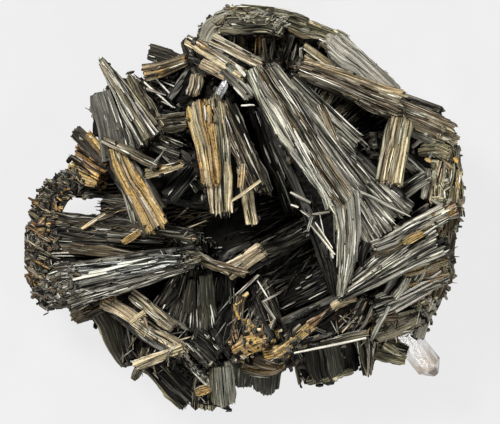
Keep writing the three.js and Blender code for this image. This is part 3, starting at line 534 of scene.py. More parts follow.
# The right side: long pale laths over the great fan's end, short ones across them, and the rim.
RIGHT_SIDE = (
    Blade(PALE, (18.6, -18.2, 35.4), (39.2, -6, 33.2), (1.4, 7), 2.4, 0.6, 2,
          streaks=((BLACK, 0.2, 0.27), (DARK, 0.4, 0.5), (BLACK, 0.7, 0.8))),
    Blade(GREY, (20.6, -15, 34.6), (38, -3, 33.2), (2, 5.4), 2.4, 0.5, 2),
    Blade(PALE, (25.4, -8.6, 35.8), (40.2, -0.6, 32.2), (3.4, 3.2), 2.6, 0.6, 1.4,
          streaks=((BROWN, 0, 0.25), (BLACK, 0.5, 0.6))),
    Blade(TAN, (31, 18.4, 36.8), (28.2, 4.4, 37.4), (4.8, 5.6), 3.4, 0.8, 0.8,
          streaks=((OLIVE, 0, 0.15), (BROWN, 0.35, 0.6)), shape=ROUND_ROOT),
    Blade(GREY, (27.6, 0.4, 34), (36.4, 6.4, 32.6), (3.4, 2.6), 2.4, 0.5, 1.4),
    Blade(GREY, (31, 10.4, 31.6), (38.8, 3.8, 30), (2.4, 2.4), 2.2, 0.5, 1),
    Blade(GREY, (28.6, 3.4, 36), (33.4, -0.6, 34.4), (2.4, 2.6), 1.6, 0.5, 1),
    Blade(TAN, (30.4, -12.6, 30.8), (40.4, -9.6, 28.6), (3, 3.8), 2.4, 0.8, 1.4, streaks=((GOLD, 0.2, 0.6),)),
    stick(GOLD, (31.4, -6.8, 35.9), (35, -5, 35.1), 1.6),
    Blade(TAN, (28, -15.4, 29), (40.6, -12.2, 26), (3.4, 3), 2.8, 0.7, 2, streaks=((BLACK, 0.4, 0.5),)),
    Blade(PALE, (25.4, -20.6, 27.2), (41, -12.8, 24.6), (3, 3), 2.8, 0.6, 1.4, streaks=((BLACK, 0.4, 0.5),)),
    Blade(PALE, (25.4, -18.4, 28.4), (40, -14.2, 25.2), (2.6, 3), 2.4, 0.6, 2, streaks=((BLACK, 0.3, 0.45),)),
    Blade(
        PALE, (31.8, -12.8, 31.4), (28.6, -18, 29.6), (4, 3.4), 1.8, 0.5, 1.6,
        streaks=((BLACK, 0.3, 0.6),),
    ),
    Blade(PALE, (36, -11, 30), (33.8, -14.6, 29), (2.6, 2.6), 1.2, 0.5, 1, streaks=((BLACK, 0.3, 0.5),)),
    stick(WHITE, (31, -17.4, 28.8), (39, -12.8, 27.2), 0.5),
    stick(WHITE, (28.6, -19.2, 28.6), (37.4, -15, 27), 0.4),
    stick(WHITE, (27, -21.4, 27.6), (35, -16.8, 27), 0.4),
    stick(PALE, (30, -20.6, 27.4), (36.6, -17, 26.4), 0.6),
    Blade(BARK, (35.8, -20.6, 18.6), (38.6, -13.4, 19.6), (4.4, 4.8), 5, 1.2, 1, 30),
    Blade(BARK, (38.6, -15, 20.6), (39.6, -8, 22), (4.8, 4.6), 5, 1.2, 1, 30),
    Blade(BARK, (39.4, -9, 21), (40.2, -2, 22.6), (4.6, 4.4), 5, 1, 1, 25),
    Blade(BARK, (40, -3.8, 23), (40.8, 3, 24), (4.6, 4.6), 6, 1, 0.6, 20, shape=LOBE),
    Blade(MOSS, (41, 1, 23.6), (40.8, 7, 24), (4.6, 4.6), 6, 1.2, 0.6, 20, shape=LOBE),
    Blade(MOSS, (41, 6, 23.4), (40.4, 12.6, 25), (4.4, 3.8), 6, 1.2, 0.6, 15, shape=LOBE),
    Blade(MOSS, (36, 12.6, 30), (42.6, 14.4, 27), (3.2, 3.4), 2.4, 1.2, 0.5, shape=ROUND_TIP),
    Blade(MOSS, (34.2, 11.6, 31.2), (41, 10.8, 30), (3.2, 3.4), 2.6, 0.6, 0.8,
          streaks=((TAN, 0.3, 0.45), (BLACK, 0.6, 0.7)), shape=LOBE, bow=0.6),
    stick(STONE, (32.6, 15, 33.6), (36.8, 13.2, 32.6), 1.3),
    stick(GREY, (33.2, 12, 32.8), (36.2, 14.6, 32.2), 0.9),
    Blade(TAN, (37.6, 9.6, 30), (41.4, 7.2, 28), (2.6, 2.4), 2.2, 1, 0.5, shape=LOBE),
    Blade(MOSS, (38.6, 0.6, 30.4), (38.2, 8.6, 29.8), (3.2, 3.4), 2.6, 0.8, 0.8),
    Blade(RUST, (37, -2.4, 32.8), (42, 0.4, 29.4), (2.4, 2.8), 2.2, 0.7, 0.6, streaks=((GOLD, 0.2, 0.6),)),
    Blade(TAN, (39, 9.6, 31), (37.6, 0.4, 31.2), (1.6, 2.4), 1.6, 0.6, 1.2, streaks=((BLACK, 0.5, 0.7),)),
    Blade(MOSS, (41, 9.4, 28), (39.8, 1.6, 28), (1.8, 2.2), 2, 0.6, 1.2, streaks=((BLACK, 0, 0.2),)),
    Blade(PALE, (36.6, 8.4, 31.6), (35.4, 1.6, 32), (1, 1.4), 1.2, 0.5, 0.8),
    Blade(TAN, (42.2, 8, 27), (41.6, 0.6, 26.6), (1.6, 1.8), 1.6, 0.6, 1.2),
    stick(GOLD, (41.6, 10.2, 30.2), (42.4, 9.2, 30), 0.9),
    stick(GOLD, (42, 5.4, 28.6), (42.6, 4, 28.2), 0.7),
    stick(GOLD, (35.6, 9.8, 33), (36.8, 9.2, 32.8), 0.8),
)

# Thick stumps under the fans, which carry them on the heart.
STUMPS = (
    Stump(BLACK, (5, 22.4, 28), (24, -3.6, 26), (6, 19), 23),
    Stump(DARK, (13, 27.4, 27), (38, 17.6, 21), (3, 4), 17),
    Stump(DARK, (26, 5, 21), (41, 7, 19), (19, 17), 16),
    Stump(DARK, (21, -13, 26), (38, -4.6, 23), (5, 10), 17),
    Stump(DARK, (-25, 10, 26), (-18.4, -1, 24.6), (4.4, 5), 14),
    Stump(BLACK, (-6, 5, 19), (-24, 8, 21), (10, 9), 16),
    Stump(BROWN, (-17, 12, 23), (-28, 21, 20), (8, 6), 16),
    Stump(BLACK, (-7, 19.6, 28), (-0.8, 2.6, 26), (8, 8.6), 19),
    Stump(DARK, (-9, 31, 26), (1, 25.6, 28.6), (3.4, 3.4), 18),
    Stump(DARK, (-6, 26, 24), (-11.4, 20, 22), (10, 8), 15),
    Stump(DARK, (-8.6, -9.4, 21.6), (-33, -14.8, 17), (3, 7), 13),
    Stump(DARK, (-26, -19, 15), (-12, -27.6, 17), (4.4, 6), 13),
    Stump(BLACK, (-4, -20, 14), (2.4, -29.6, 15), (9, 9), 15),
    Stump(BLACK, (-4, -12, 19), (4, -8, 20), (4, 4), 12),
    Stump(DARK, (9, -25, 18), (24, -19, 20.4), (5, 7), 15),
    Stump(DARK, (21, -22, 16), (35.6, -19.6, 15), (7, 7), 14),
    Stump(DARK, (25, -14.4, 20.4), (40, -9.4, 18.6), (8, 7), 14),
)


# How high the root of an underside blade lies, and how high the tip of a brown one lies at least.
SKIRT_FOOT = 1.5
BROWN_RIM = 15


def skirt_blade(degrees: float, reach: float, rim: float) -> Blade:
    """A blade of the underside: its direction, and how far out and how high its tip is."""
    turn = math.radians(degrees)
    root = (0.5 * reach * math.cos(turn), 0.5 * reach * math.sin(turn), SKIRT_FOOT)
    tip = (reach * math.cos(turn), reach * math.sin(turn), rim)
    return Blade(BROWN if rim > BROWN_RIM else DARK, root, tip, (8, 11), 5, 1, 2.5, taper=0.7)


# The underside: each blade's direction, and how far out and how high its tip is.
SKIRT = (
    (355, 41, 16), (19, 42, 19), (41, 38, 22), (60, 37, 23), (78, 37, 25), (97, 37, 24),
    (117, 33, 21), (138, 34, 21), (158, 33, 13), (197, 39, 8), (211, 37, 9), (229, 35, 8),
    (249, 36, 9), (268, 33, 8), (288, 33, 9), (307, 34, 11), (327, 37, 13),
)

BLADE_PIECES = {
    "great_fan": MAIN_FAN,
    "back_sheaf": BACK_SHEAF,
    "back_hood": HOOD,
    "crossing_laths": CROSSING,
    "left_shoulder": LEFT_SHOULDER,
    "left_blades": LEFT_BLADES,
    "golden_blade": GOLDEN_BLADE,
    "middle_fan": MIDDLE_FAN,
    "left_loop": LEFT_LOOP + LOOP_RUNGS,
    "left_bundle": LEFT_BUNDLE,
    "silver_fan": SILVER_FAN,
    "front_left_blades": FRONT_LEFT,
    "front_middle_blades": FRONT_MIDDLE,
    "hollow_blades": HOLLOW,
    "front_right_blades": FRONT_RIGHT,
    "right_side_blades": RIGHT_SIDE,
    "skirt_blades": tuple(skirt_blade(*each) for each in SKIRT),
}


@dataclass(frozen=True)
class Thicket:
    """Loose slivers that lie on whatever is under them."""

    centre: Range  # of its oval patch, seen from above
    half: Range  # half the patch's extent along X and Y
    count: int
    heading: float  # the slivers' mean direction, in degrees from +X towards +Y
    sway: float  # how far they turn from it, in degrees
    looks: tuple[Look, ...]
    length: Range = (1.5, 5)
    width: Range = (0.2, 0.6)
    pitch: float = 0.12  # how steeply they stand out of the ground
    lift: Range = (-0.2, 0.5)  # how deep in it and how high over it they lie
    kind: Kind = NEEDLE
    ceiling: float = 27.0  # how high the ground may be where they lie


# Mostly near-black slivers for the hollows; their darkness is partly painted shade.
DEEP = (BLACK, BLACK, BLACK, DARK, DARK, GREY)
GLINTS = (WHITE, PALE, GREY)
CRUST_BITS = (MOSS, MOSS, STONE, BROWN, OLIVE, TAN)
RUSTY = (RUST, BARK, DARK, DARK, BLACK, OLIVE, BLACK, BARK)
MIXED = (GREY, BROWN, DARK, PALE, BLACK, TAN)
SHADY = (DARK, BLACK, BROWN, BARK)
ASHY = (GREY, DARK, BLACK, PALE)
SOOTY = (GREY, DARK, BLACK, BLACK)
SMOKY = (GREY, DARK, PALE, BLACK)
LOOP_END = (GREY, DARK, SMOOTH, BARK)
SHINY = (DARK, SILVER, GREY)
EARTHY = (BLACK, DARK, BARK, SLATE)
OCHRE_BITS = (GOLD, RUST, BLACK, DARK, TAN)
HOOD_BITS = (STONE, MOSS, OLIVE, BARK, STONE)
HOLLOW_BITS = (GREY, TAN, DARK, PALE, RUST)
OLD_BITS = (DARK, BLACK, BARK, OLIVE)
DIRT = (DARK, BLACK, BARK, SLATE)
FINE = (0.15, 0.4)
GRAINS = (0.5, 1.3)

# Loose slivers and grains by place: the hollows, the crusty rims and the tangles between the fans.
THICKETS = (
    Thicket((-8, -20), (11, 9), 120, 80, 25, DEEP, (2, 6), FINE, ceiling=22),
    Thicket((10, -8), (11, 12), 140, 30, 20, DEEP, (2, 8), FINE, ceiling=22),
    Thicket((-15, 21), (6, 5), 70, 150, 40, DEEP, (1.5, 5), FINE),
    Thicket((4, 31), (10, 4.4), 110, 90, 40, DEEP, (1.5, 5), (0.2, 0.6)),
    Thicket((-15, 12), (7, 7), 90, 150, 50, DEEP, (1.5, 6), FINE),
    Thicket((-22, -2), (14, 4), 120, 185, 14, SHADY, (3, 9), FINE),
    Thicket((-11, -9), (6, 4), 200, 150, 60, ASHY, (0.6, 1.8), FINE, ceiling=40),
    Thicket((-41, -8), (3.2, 12), 420, 150, 40, RUSTY, (0.6, 1.8), (0.3, 0.9), 0.25, (-0.1, 0.6), CRUMB),
    Thicket((-36.6, 3.6), (5, 4), 200, 150, 40, RUSTY, (0.6, 1.8), (0.3, 0.9), 0.25, (-0.1, 0.6), CRUMB),
    Thicket((-37, -15), (4, 4), 130, 190, 40, LOOP_END, (0.6, 1.6), (0.3, 0.8), 0.25, (0.2, 1.4), CRUMB),
    Thicket((-33, -16), (9, 5), 60, 190, 20, SHINY, (2, 5), FINE),
    Thicket((40, 5), (4, 11), 110, 100, 60, CRUST_BITS, (0.6, 2.2), GRAINS, 0.3, (-0.3, 0.3), CRUMB, 33),
    Thicket((37, -14), (5, 8), 150, 60, 60, CRUST_BITS, (0.6, 2), GRAINS, 0.3, (-0.3, 0.3), CRUMB, 30),
    Thicket((34, 3), (7, 7), 110, 40, 50, MIXED, (1.5, 6), FINE),
    Thicket((33, -12), (9, 7), 160, 35, 30, MIXED, (1.5, 6), FINE),
    Thicket((26, -22), (9, 5), 140, 50, 40, MIXED, (1, 4), FINE),
    Thicket((12, -29), (8, 5), 110, 40, 50, EARTHY, (0.6, 2), GRAINS, 0.2, (-0.3, 0.3), CRUMB),
    Thicket((2, -27), (5, 5), 130, 70, 60, OCHRE_BITS, (0.6, 2), (0.3, 1), 0.2, (-0.3, 0.3), CRUMB),
    Thicket((-8, -30.4), (6, 4.4), 300, 60, 90, SOOTY, (0.4, 1.2), (0.2, 0.6), 0.4, (-0.2, 0.4), CRUMB),
    Thicket((-8, -28), (4, 3.4), 150, 60, 90, SMOKY, (0.5, 1.6), (0.3, 0.8), 0.4, (0.5, 5), CRUMB, 18),
    Thicket((-17, -27), (9, 6), 60, 120, 50, MIXED, (1.5, 4), FINE),
    Thicket((0, 37), (9, 3), 240, 5, 40, HOOD_BITS, (0.4, 1.6), (0.2, 0.5), 0.1, (0.1, 0.9), CRUMB, 34),
    Thicket((6, 31.8), (10, 3), 170, 90, 60, HOLLOW_BITS, (0.6, 1.8), (0.3, 0.8), 0.4, (0, 1.5), CRUMB, 29),
    Thicket((11.6, 31), (3, 2), 45, 70, 60, GLINTS, (0.6, 1.8), (0.25, 0.6), 0.4, (0, 1.2), CRUMB, 29),
)

# Slivers and grains all over, also on the sides and underneath, without a place or a heading.
LITTER = (
    Thicket((0, 0), (0, 0), 1700, 0, 0, DIRT, (1, 2.6), (0.4, 1.1), 0.02, (-0.5, 0)),
    Thicket((0, 0), (0, 0), 1100, 0, 0, OLD_BITS, (0.6, 1.6), (0.4, 1), 0.1, (-0.5, 0), CRUMB),
    Thicket((0, 0), (0, 0), 240, 0, 0, GLINTS, (1, 3), (0.12, 0.3), 0.05, (-0.1, 0.1)),
)


def read_points(mesh: Mesh, what: str = "co") -> Array:
    """The places of a mesh's points, or their normals."""
    values = np.zeros(len(mesh.vertices) * 3)
    mesh.vertices.foreach_get(what, values)
    return values.reshape(-1, 3)


def move_points(mesh: Mesh, places: Array) -> None:
    """Gives a mesh's points new places."""
    mesh.vertices.foreach_set("co", places.ravel())
    mesh.update()


def plain_mesh(name: str, points: Array, faces: Faces) -> Mesh:
    """A mesh from points and faces."""
    mesh = bpy.data.meshes.new(name)
    mesh.from_pydata([tuple(p) for p in points], [], faces)
    mesh.validate()
    return mesh


def add_object(name: str, mesh: Mesh) -> Object:
    """Puts a mesh in the scene at the origin."""
    made = bpy.data.objects.new(name, mesh)
    bpy.context.scene.collection.objects.link(made)
    return made


def evaluated_mesh(obj: Object, name: str) -> Mesh:
    """A plain mesh of an object with its modifiers done."""
    depsgraph = bpy.context.evaluated_depsgraph_get()
    mesh = bpy.data.meshes.new_from_object(
        obj.evaluated_get(depsgraph), preserve_all_data_layers=True, depsgraph=depsgraph
    )
    mesh.name = name
    return mesh


def give_maps(mesh: Mesh, maps: dict[str, Array]) -> None:
    """Gives a mesh named UV maps, from a pair of values for each point."""
    corners = np.zeros(len(mesh.loops), int)
    mesh.loops.foreach_get("vertex_index", corners)
    for label, pairs in maps.items():
        layer = mesh.uv_layers.new(name=label)
        layer.data.foreach_set("uv", np.ascontiguousarray(pairs[corners]).ravel())


def give_values(mesh: Mesh, values: dict[str, Array]) -> None:
    """Gives a mesh a named number, vector or colour for each point."""
    sorts = {1: ("INT", "value"), 3: ("FLOAT_VECTOR", "vector"), 4: ("FLOAT_COLOR", "color")}
    for label, rows in values.items():
        data_type, target = sorts[rows.size // len(rows)]
        attribute = mesh.attributes.new(label, data_type, "POINT")
        attribute.data.foreach_set(target, np.ascontiguousarray(rows).ravel())


def finish_piece(name: str, mesh: Mesh) -> Object:
    """Makes a mesh a piece of the goethite cluster, and reports it."""
    piece = add_object(name, mesh)
    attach(piece, BODY)
    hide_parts(CLUSTER_NODE)
    log.info("%s: %d triangles", name, sum(len(p.vertices) - 2 for p in mesh.polygons))
    return piece


class Ground:
    """The solid that slivers are laid on, in millimetres."""

    sky = 100.0  # a height above all of it
    base = 1.0  # faces that lie lower than this are its broken base

    def __init__(self, source: Object) -> None:
        """Reads the solid's faces."""
        mesh = source.data
        mesh.calc_loop_triangles()
        corners = np.zeros(len(mesh.loop_triangles) * 3, int)
        mesh.loop_triangles.foreach_get("vertices", corners)
        self.triangles = read_points(mesh)[corners.reshape(-1, 3)] / MM
        points = self.triangles.reshape(-1, 3)
        faces = np.arange(len(points)).reshape(-1, 3)
        self.tree = BVHTree.FromPolygons(points.tolist(), faces.tolist(), all_triangles=True)

    def below(self, x: float, y: float) -> tuple[Array, Array] | None:
        """The first point under a place, with its normal."""
        place, normal, _, _ = self.tree.ray_cast(Vector((x, y, self.sky)), Vector((0, 0, -1)))
        if place is None:
            return None
        return np.array(place), np.array(normal if normal.z > 0 else -normal)

    def scatter(self, rng: Random, count: int) -> tuple[Array, Array]:
        """Even random points on all faces but the flat base.

        Args:
            rng: where they come from.
            count: how many there are.

        Returns:
            The points and their normals.
        """
        a, b, c = (self.triangles[:, k] for k in range(3))
        normals = np.cross(b - a, c - a)
        area = np.linalg.norm(normals, axis=1)
        area[self.triangles[:, :, 2].max(axis=1) < self.base] = 0
        picked = rng.choice(len(area), count, p=area / area.sum())
        u, v = rng.random((2, count, 1))
        flip = u + v > 1
        u, v = np.where(flip, 1 - u, u), np.where(flip, 1 - v, v)
        spots = a[picked] + u * (b - a)[picked] + v * (c - a)[picked]
        return spots, normals[picked] / area[picked][:, None]


class Value:
    """A number from a node, which takes part in arithmetic as a Python number does."""

    def __init__(self, nodes: "Nodes", socket: bpy.types.NodeSocket) -> None:
        """Wraps a socket of a node tree."""
        self.nodes = nodes
        self.socket = socket

    def _maths(self, operation: str, first: Any, second: Any) -> "Value":
        """One Math node on two numbers."""
        return self.nodes.out("ShaderNodeMath", 0, {"operation": operation}, {0: first, 1: second})

    def __add__(self, other: Any) -> "Value":
        """The sum."""
        return self._maths("ADD", self, other)

    def __sub__(self, other: Any) -> "Value":
        """The difference."""
        return self._maths("SUBTRACT", self, other)

    def __mul__(self, other: Any) -> "Value":
        """The product."""
        return self._maths("MULTIPLY", self, other)

    def __rsub__(self, other: Any) -> "Value":
        """The difference, from a plain number."""
        return self._maths("SUBTRACT", other, self)

    __radd__ = __add__
    __rmul__ = __mul__

    def ramp(self, low: float, high: float, start: float = 0.0, end: float = 1.0) -> "Value":
        """The number carried smoothly from low..high to start..end, and held there beyond."""
        return self.nodes.out(
            "ShaderNodeMapRange", 0, {"interpolation_type": "SMOOTHSTEP"},
            {0: self, 1: low, 2: high, 3: start, 4: end},
        )


class Nodes:
    """A node tree that is written as expressions."""

    def __init__(self, tree: bpy.types.NodeTree) -> None:
        """Starts on an emptied tree."""
        self.tree = tree
        tree.nodes.clear()

    def make(
        self, kind: str, settings: dict[str, Any] | None = None, inputs: dict[Any, Any] | None = None
    ) -> bpy.types.Node:
        """Adds one node.

        Args:
            kind: the node's type.
            settings: its properties, which are set first.
            inputs: a value or a link for each socket, by name or number.

        Returns:
            The node.
        """
        node = self.tree.nodes.new(kind)
        for name, value in (settings or {}).items():
            setattr(node, name, value)
        for name, value in (inputs or {}).items():
            if isinstance(value, Value):
                self.tree.links.new(value.socket, node.inputs[name])
            else:
                node.inputs[name].default_value = value
        return node

    def out(
        self, kind: str, output: Any, settings: dict[str, Any] | None = None,
        inputs: dict[Any, Any] | None = None,
    ) -> Value:
        """Adds one node and returns one of its outputs, by name or number."""
        return Value(self, self.make(kind, settings, inputs).outputs[output])

    def mix(self, factor: Any, first: Any, second: Any, how: str = "MIX") -> Value:
        """Two colours mixed by a factor."""
        settings = {"data_type": "RGBA", "blend_type": how, "clamp_factor": True}
        return self.out("ShaderNodeMix", 2, settings, {0: factor, 6: first, 7: second})

    def shaded(self, colour: Any, shade: Value) -> Value:
        """A colour made lighter or darker by a number."""
        return self.mix(1.0, colour, self.whole(shade, shade, shade), "MULTIPLY")

    def parts(self, vector: Value) -> tuple[Value, Value, Value]:
        """The three parts of a vector."""
        node = self.make("ShaderNodeSeparateXYZ", None, {0: vector})
        return tuple(Value(self, socket) for socket in node.outputs)

    def whole(self, x: Any, y: Any, z: Any) -> Value:
        """A vector from its three parts."""
        return self.out("ShaderNodeCombineXYZ", 0, None, {0: x, 1: y, 2: z})

    def noise(self, where: Value, scale: float, detail: float = 3.0, rough: float = 0.6) -> Value:
        """Soft noise from 0 to 1."""
        inputs = {"Vector": where, "Scale": scale, "Detail": detail, "Roughness": rough}
        return self.out("ShaderNodeTexNoise", 0, None, inputs)

    def own(self, name: str, output: str) -> Value:
        """What a point carries by name, as a Color, a Vector or an Alpha."""
        return self.out("ShaderNodeAttribute", output, {"attribute_name": name})

    def uv_map(self, name: str) -> Value:
        """A piece's UV map."""
        return self.out("ShaderNodeUVMap", "UV", {"uv_map": name})

    def place(self) -> Value:
        """The place on the object, in metres."""
        return self.out("ShaderNodeTexCoord", "Object")

    def bump(self, height: Value, depth: float, strength: float = 1.0) -> Value:
        """A normal that shows a height of 0 to 1 as relief of this depth in metres."""
        inputs = {"Strength": strength, "Distance": depth, "Height": height}
        return self.out("ShaderNodeBump", 0, None, inputs)

    def vector(self, operation: str, inputs: dict[Any, Any]) -> Value:
        """One Vector Math node."""
        return self.out("ShaderNodeVectorMath", 0, {"operation": operation}, inputs)


def opaque(colour: Colour) -> tuple[float, float, float, float]:
    """A colour as a socket wants it."""
    return (*colour, 1.0)


@dataclass(frozen=True)
class Material:
    """A finish that is built as a material."""

    name: str

    def build(self) -> Surface:
        """Builds the material."""
        made = bpy.data.materials.new(self.name)
        made.use_nodes = True
        nodes = Nodes(made.node_tree)
        nodes.make("ShaderNodeOutputMaterial", None, dict(enumerate(self.shaders(nodes))))
        return made


@dataclass(frozen=True)
class GoethiteFinish(Material):
    """The surface of every lath: streaks along it, rust over it, painted highlights on its edges and ridge
    tops, and painted shade in its grooves and low parts.
    """

    name: str = "goethite_laths"
    ochre: Colour = tone(164, 130, 72)
    umber: Colour = tone(100, 74, 50)
    # The next colour paints the highlights on lath edges and ridge tops.
    highlight_white: Colour = tone(222, 219, 204)
    # The next colour paints the shade in the grooves between the striae.
    groove_shade_black: Colour = tone(11, 10, 8)
    streak: Range = (2.4, 0.07)  # to a millimetre across a lath and along it
    fibre: Range = (5.0, 0.14)  # the same
    patch: float = 150.0  # to a metre, as are the next two
    blotch: float = 420.0
    speck: float = 2200.0

    def shaders(self, nodes: Nodes) -> list[Value]:
        """Builds the surface."""
        tint = nodes.own("tint", "Color")
        grain = nodes.own("tint", "Alpha")
        rust, rim, sheen = nodes.parts(nodes.own("habit", "Vector"))
        broad, reach, seed = nodes.parts(nodes.own("build", "Vector"))
        across, along, _ = nodes.parts(nodes.uv_map("UVMap"))
        level, near_edge, _ = nodes.parts(nodes.uv_map("Relief"))
        place = nodes.place()

        aside, ahead = across * broad, along * reach
        streak_place = nodes.whole(aside * self.streak[0] + seed * 17.0, ahead * self.streak[1], seed * 9.0)
        streaks = nodes.noise(streak_place, 1.0)
        fibre_place = nodes.whole(aside * self.fibre[0] + seed * 31.0, ahead * self.fibre[1], seed * 5.0)
        fibres = nodes.noise(fibre_place, 1.0, 2.0, 0.5)
        blotches = nodes.noise(place, self.blotch)
        patches = nodes.noise(place, self.patch, 2.0, 0.5)
        specks = nodes.noise(place, self.speck, 2.0)

        grooves = streaks.ramp(0.35, 0.65, 0.25, 1.6) * fibres.ramp(0.32, 0.68, 0.4, 1.6)
        pits = 1 - specks.ramp(0.48, 0.36) * (rust * 0.8 + 0.15)
        # Painted shade: the level darkens the low parts of each lath's section and the grooves, clefts and
        # sides of the plates.
        depth = (1 + (grooves - 1) * grain) * pits * level.ramp(0.3, 0.95, 0.25, 1.2)
        depth = depth * patches.ramp(0.3, 0.7, 0.8, 1.15)
        coat = (rust * 0.7 + patches * 0.9 + blotches * 0.6 - 0.98).ramp(0.05, 0.45)
        ochre = nodes.mix(blotches.ramp(0.4, 0.62), opaque(self.umber), opaque(self.ochre))
        coated = nodes.mix(coat, nodes.shaded(tint, depth), nodes.shaded(ochre, depth))
        # Painted highlights: pale lines near the edges and threads on the ridge tops, as strong as rim says.
        edge = near_edge.ramp(0.6, 0.94) * fibres.ramp(0.35, 0.6)
        thread_highlight = fibres.ramp(0.56, 0.64) * level.ramp(0.6, 0.9)
        lit = nodes.mix((edge * 0.55 + thread_highlight * 0.9) * rim, coated, opaque(self.highlight_white))
        # Painted shade: near-black lines along the grooves between the striae, scaled by the grain.
        groove_shade = streaks.ramp(0.43, 0.37) * grain * 0.95
        shader = nodes.out("ShaderNodeBsdfPrincipled", 0, None, {
            "Base Color": nodes.mix(groove_shade, lit, opaque(self.groove_shade_black)),
            "Roughness": fibres.ramp(0.2, 0.8, 0.6, 0.85) - sheen * 0.35 + coat * 0.1,
            "Metallic": sheen * 0.6,
            "Normal": nodes.bump(streaks * 0.7 + fibres * 0.3, GROOVE_DEPTH),
            "Specular IOR Level": GLOSS,
        })
        return [shader]


@dataclass(frozen=True)
class CrustFinish(Material):
    """The dark crust between the laths. Its near-black, seen through the gaps between them, is partly painted
    shade.
    """

    name: str = "goethite_crust"
    dark: Colour = tone(20, 19, 17)
    brown: Colour = tone(46, 39, 30)

    def shaders(self, nodes: Nodes) -> list[Value]:
        """Builds the surface."""
        place = nodes.place()
        patches = nodes.noise(place, 160.0)
        grains = nodes.noise(place, 1600.0)
        colour = nodes.mix(patches.ramp(0.5, 0.7) * 0.7, opaque(self.dark), opaque(self.brown))
        shader = nodes.out("ShaderNodeBsdfPrincipled", 0, None, {
            "Base Color": nodes.shaded(colour, grains.ramp(0.3, 0.7, 0.4, 1.5)),
            "Roughness": grains.ramp(0.2, 0.8, 0.6, 0.9),
            "Normal": nodes.bump(grains + patches, GROOVE_DEPTH),
            "Specular IOR Level": GLOSS,
        })
        return [shader]


@dataclass(frozen=True)
class QuartzFinish(Material):
    """Clear, slightly milky quartz with fine lines along the crystal and a smoky end."""

    name: str = "clear_quartz"
    milk: Colour = tone(252, 252, 252)
    smoke: Colour = tone(168, 146, 112)
    shade: Colour = tone(128, 130, 140)
    axis: Range = (0.635, -0.772)  # the way of the crystal, seen from above
    stained: float = 0.0455  # metres along that axis, where the smoky end begins
    line: Point = (2200.0, 160.0, 1400.0)  # to a metre across the crystal, along it and upwards
    veil: float = 500.0  # to a metre
    relief: float = 0.0001  # metres
    clear: float = 0.75
    tint: Colour = tone(236, 230, 222)
    density: float = 90.0  # for each metre

    def shaders(self, nodes: Nodes) -> list[Value]:
        """Builds the surface and the clear inside."""
        place = nodes.place()
        x, y, z = nodes.parts(place)
        along = x * self.axis[0] + y * self.axis[1]
        across = x * -self.axis[1] + y * self.axis[0]
        line_place = nodes.whole(across * self.line[0], along * self.line[1], z * self.line[2])
        lines = nodes.noise(line_place, 1.0, 2.0, 0.5)
        veils = nodes.noise(place, self.veil)
        smoky = along.ramp(self.stained - 0.002, self.stained + 0.002) * veils.ramp(0.35, 0.55)
        colour = nodes.mix(smoky * 0.75, opaque(self.milk), opaque(self.smoke))
        clear = nodes.out("ShaderNodeBsdfPrincipled", 0, None, {
            "Base Color": nodes.mix(lines.ramp(0.4, 0.34) * 0.6, colour, opaque(self.shade)),
            "Roughness": veils.ramp(0.3, 0.7, 0.04, 0.2),
            "Normal": nodes.bump(lines, self.relief, 0.5),
            "Transmission Weight": self.clear,
            "IOR": QUARTZ_IOR,
        })
        inputs = {"Color": opaque(self.tint), "Density": self.density}
        inside = nodes.out("ShaderNodeVolumeAbsorption", 0, None, inputs)
        return [clear, inside]


@dataclass(frozen=True)
class FloorFinish(Material):
    """The pale floor, which is lit a little from within so that it shows white."""

    name: str = "pale_floor"
    white: Colour = (0.045, 0.045, 0.045)
    grey: Colour = (0.035, 0.035, 0.035)

    def shaders(self, nodes: Nodes) -> list[Value]:
        """Builds the surface."""
        clouds = nodes.noise(nodes.place(), 60.0)
        shader = nodes.out("ShaderNodeBsdfPrincipled", 0, None, {
            "Base Color": nodes.mix(clouds.ramp(0.3, 0.7), opaque(self.grey), opaque(self.white)),
            "Roughness": 0.9,
            "Specular IOR Level": 0.1,
            "Emission Color": opaque((1.0, 1.0, 1.0)),
            "Emission Strength": 0.79,
        })
        return [shader]


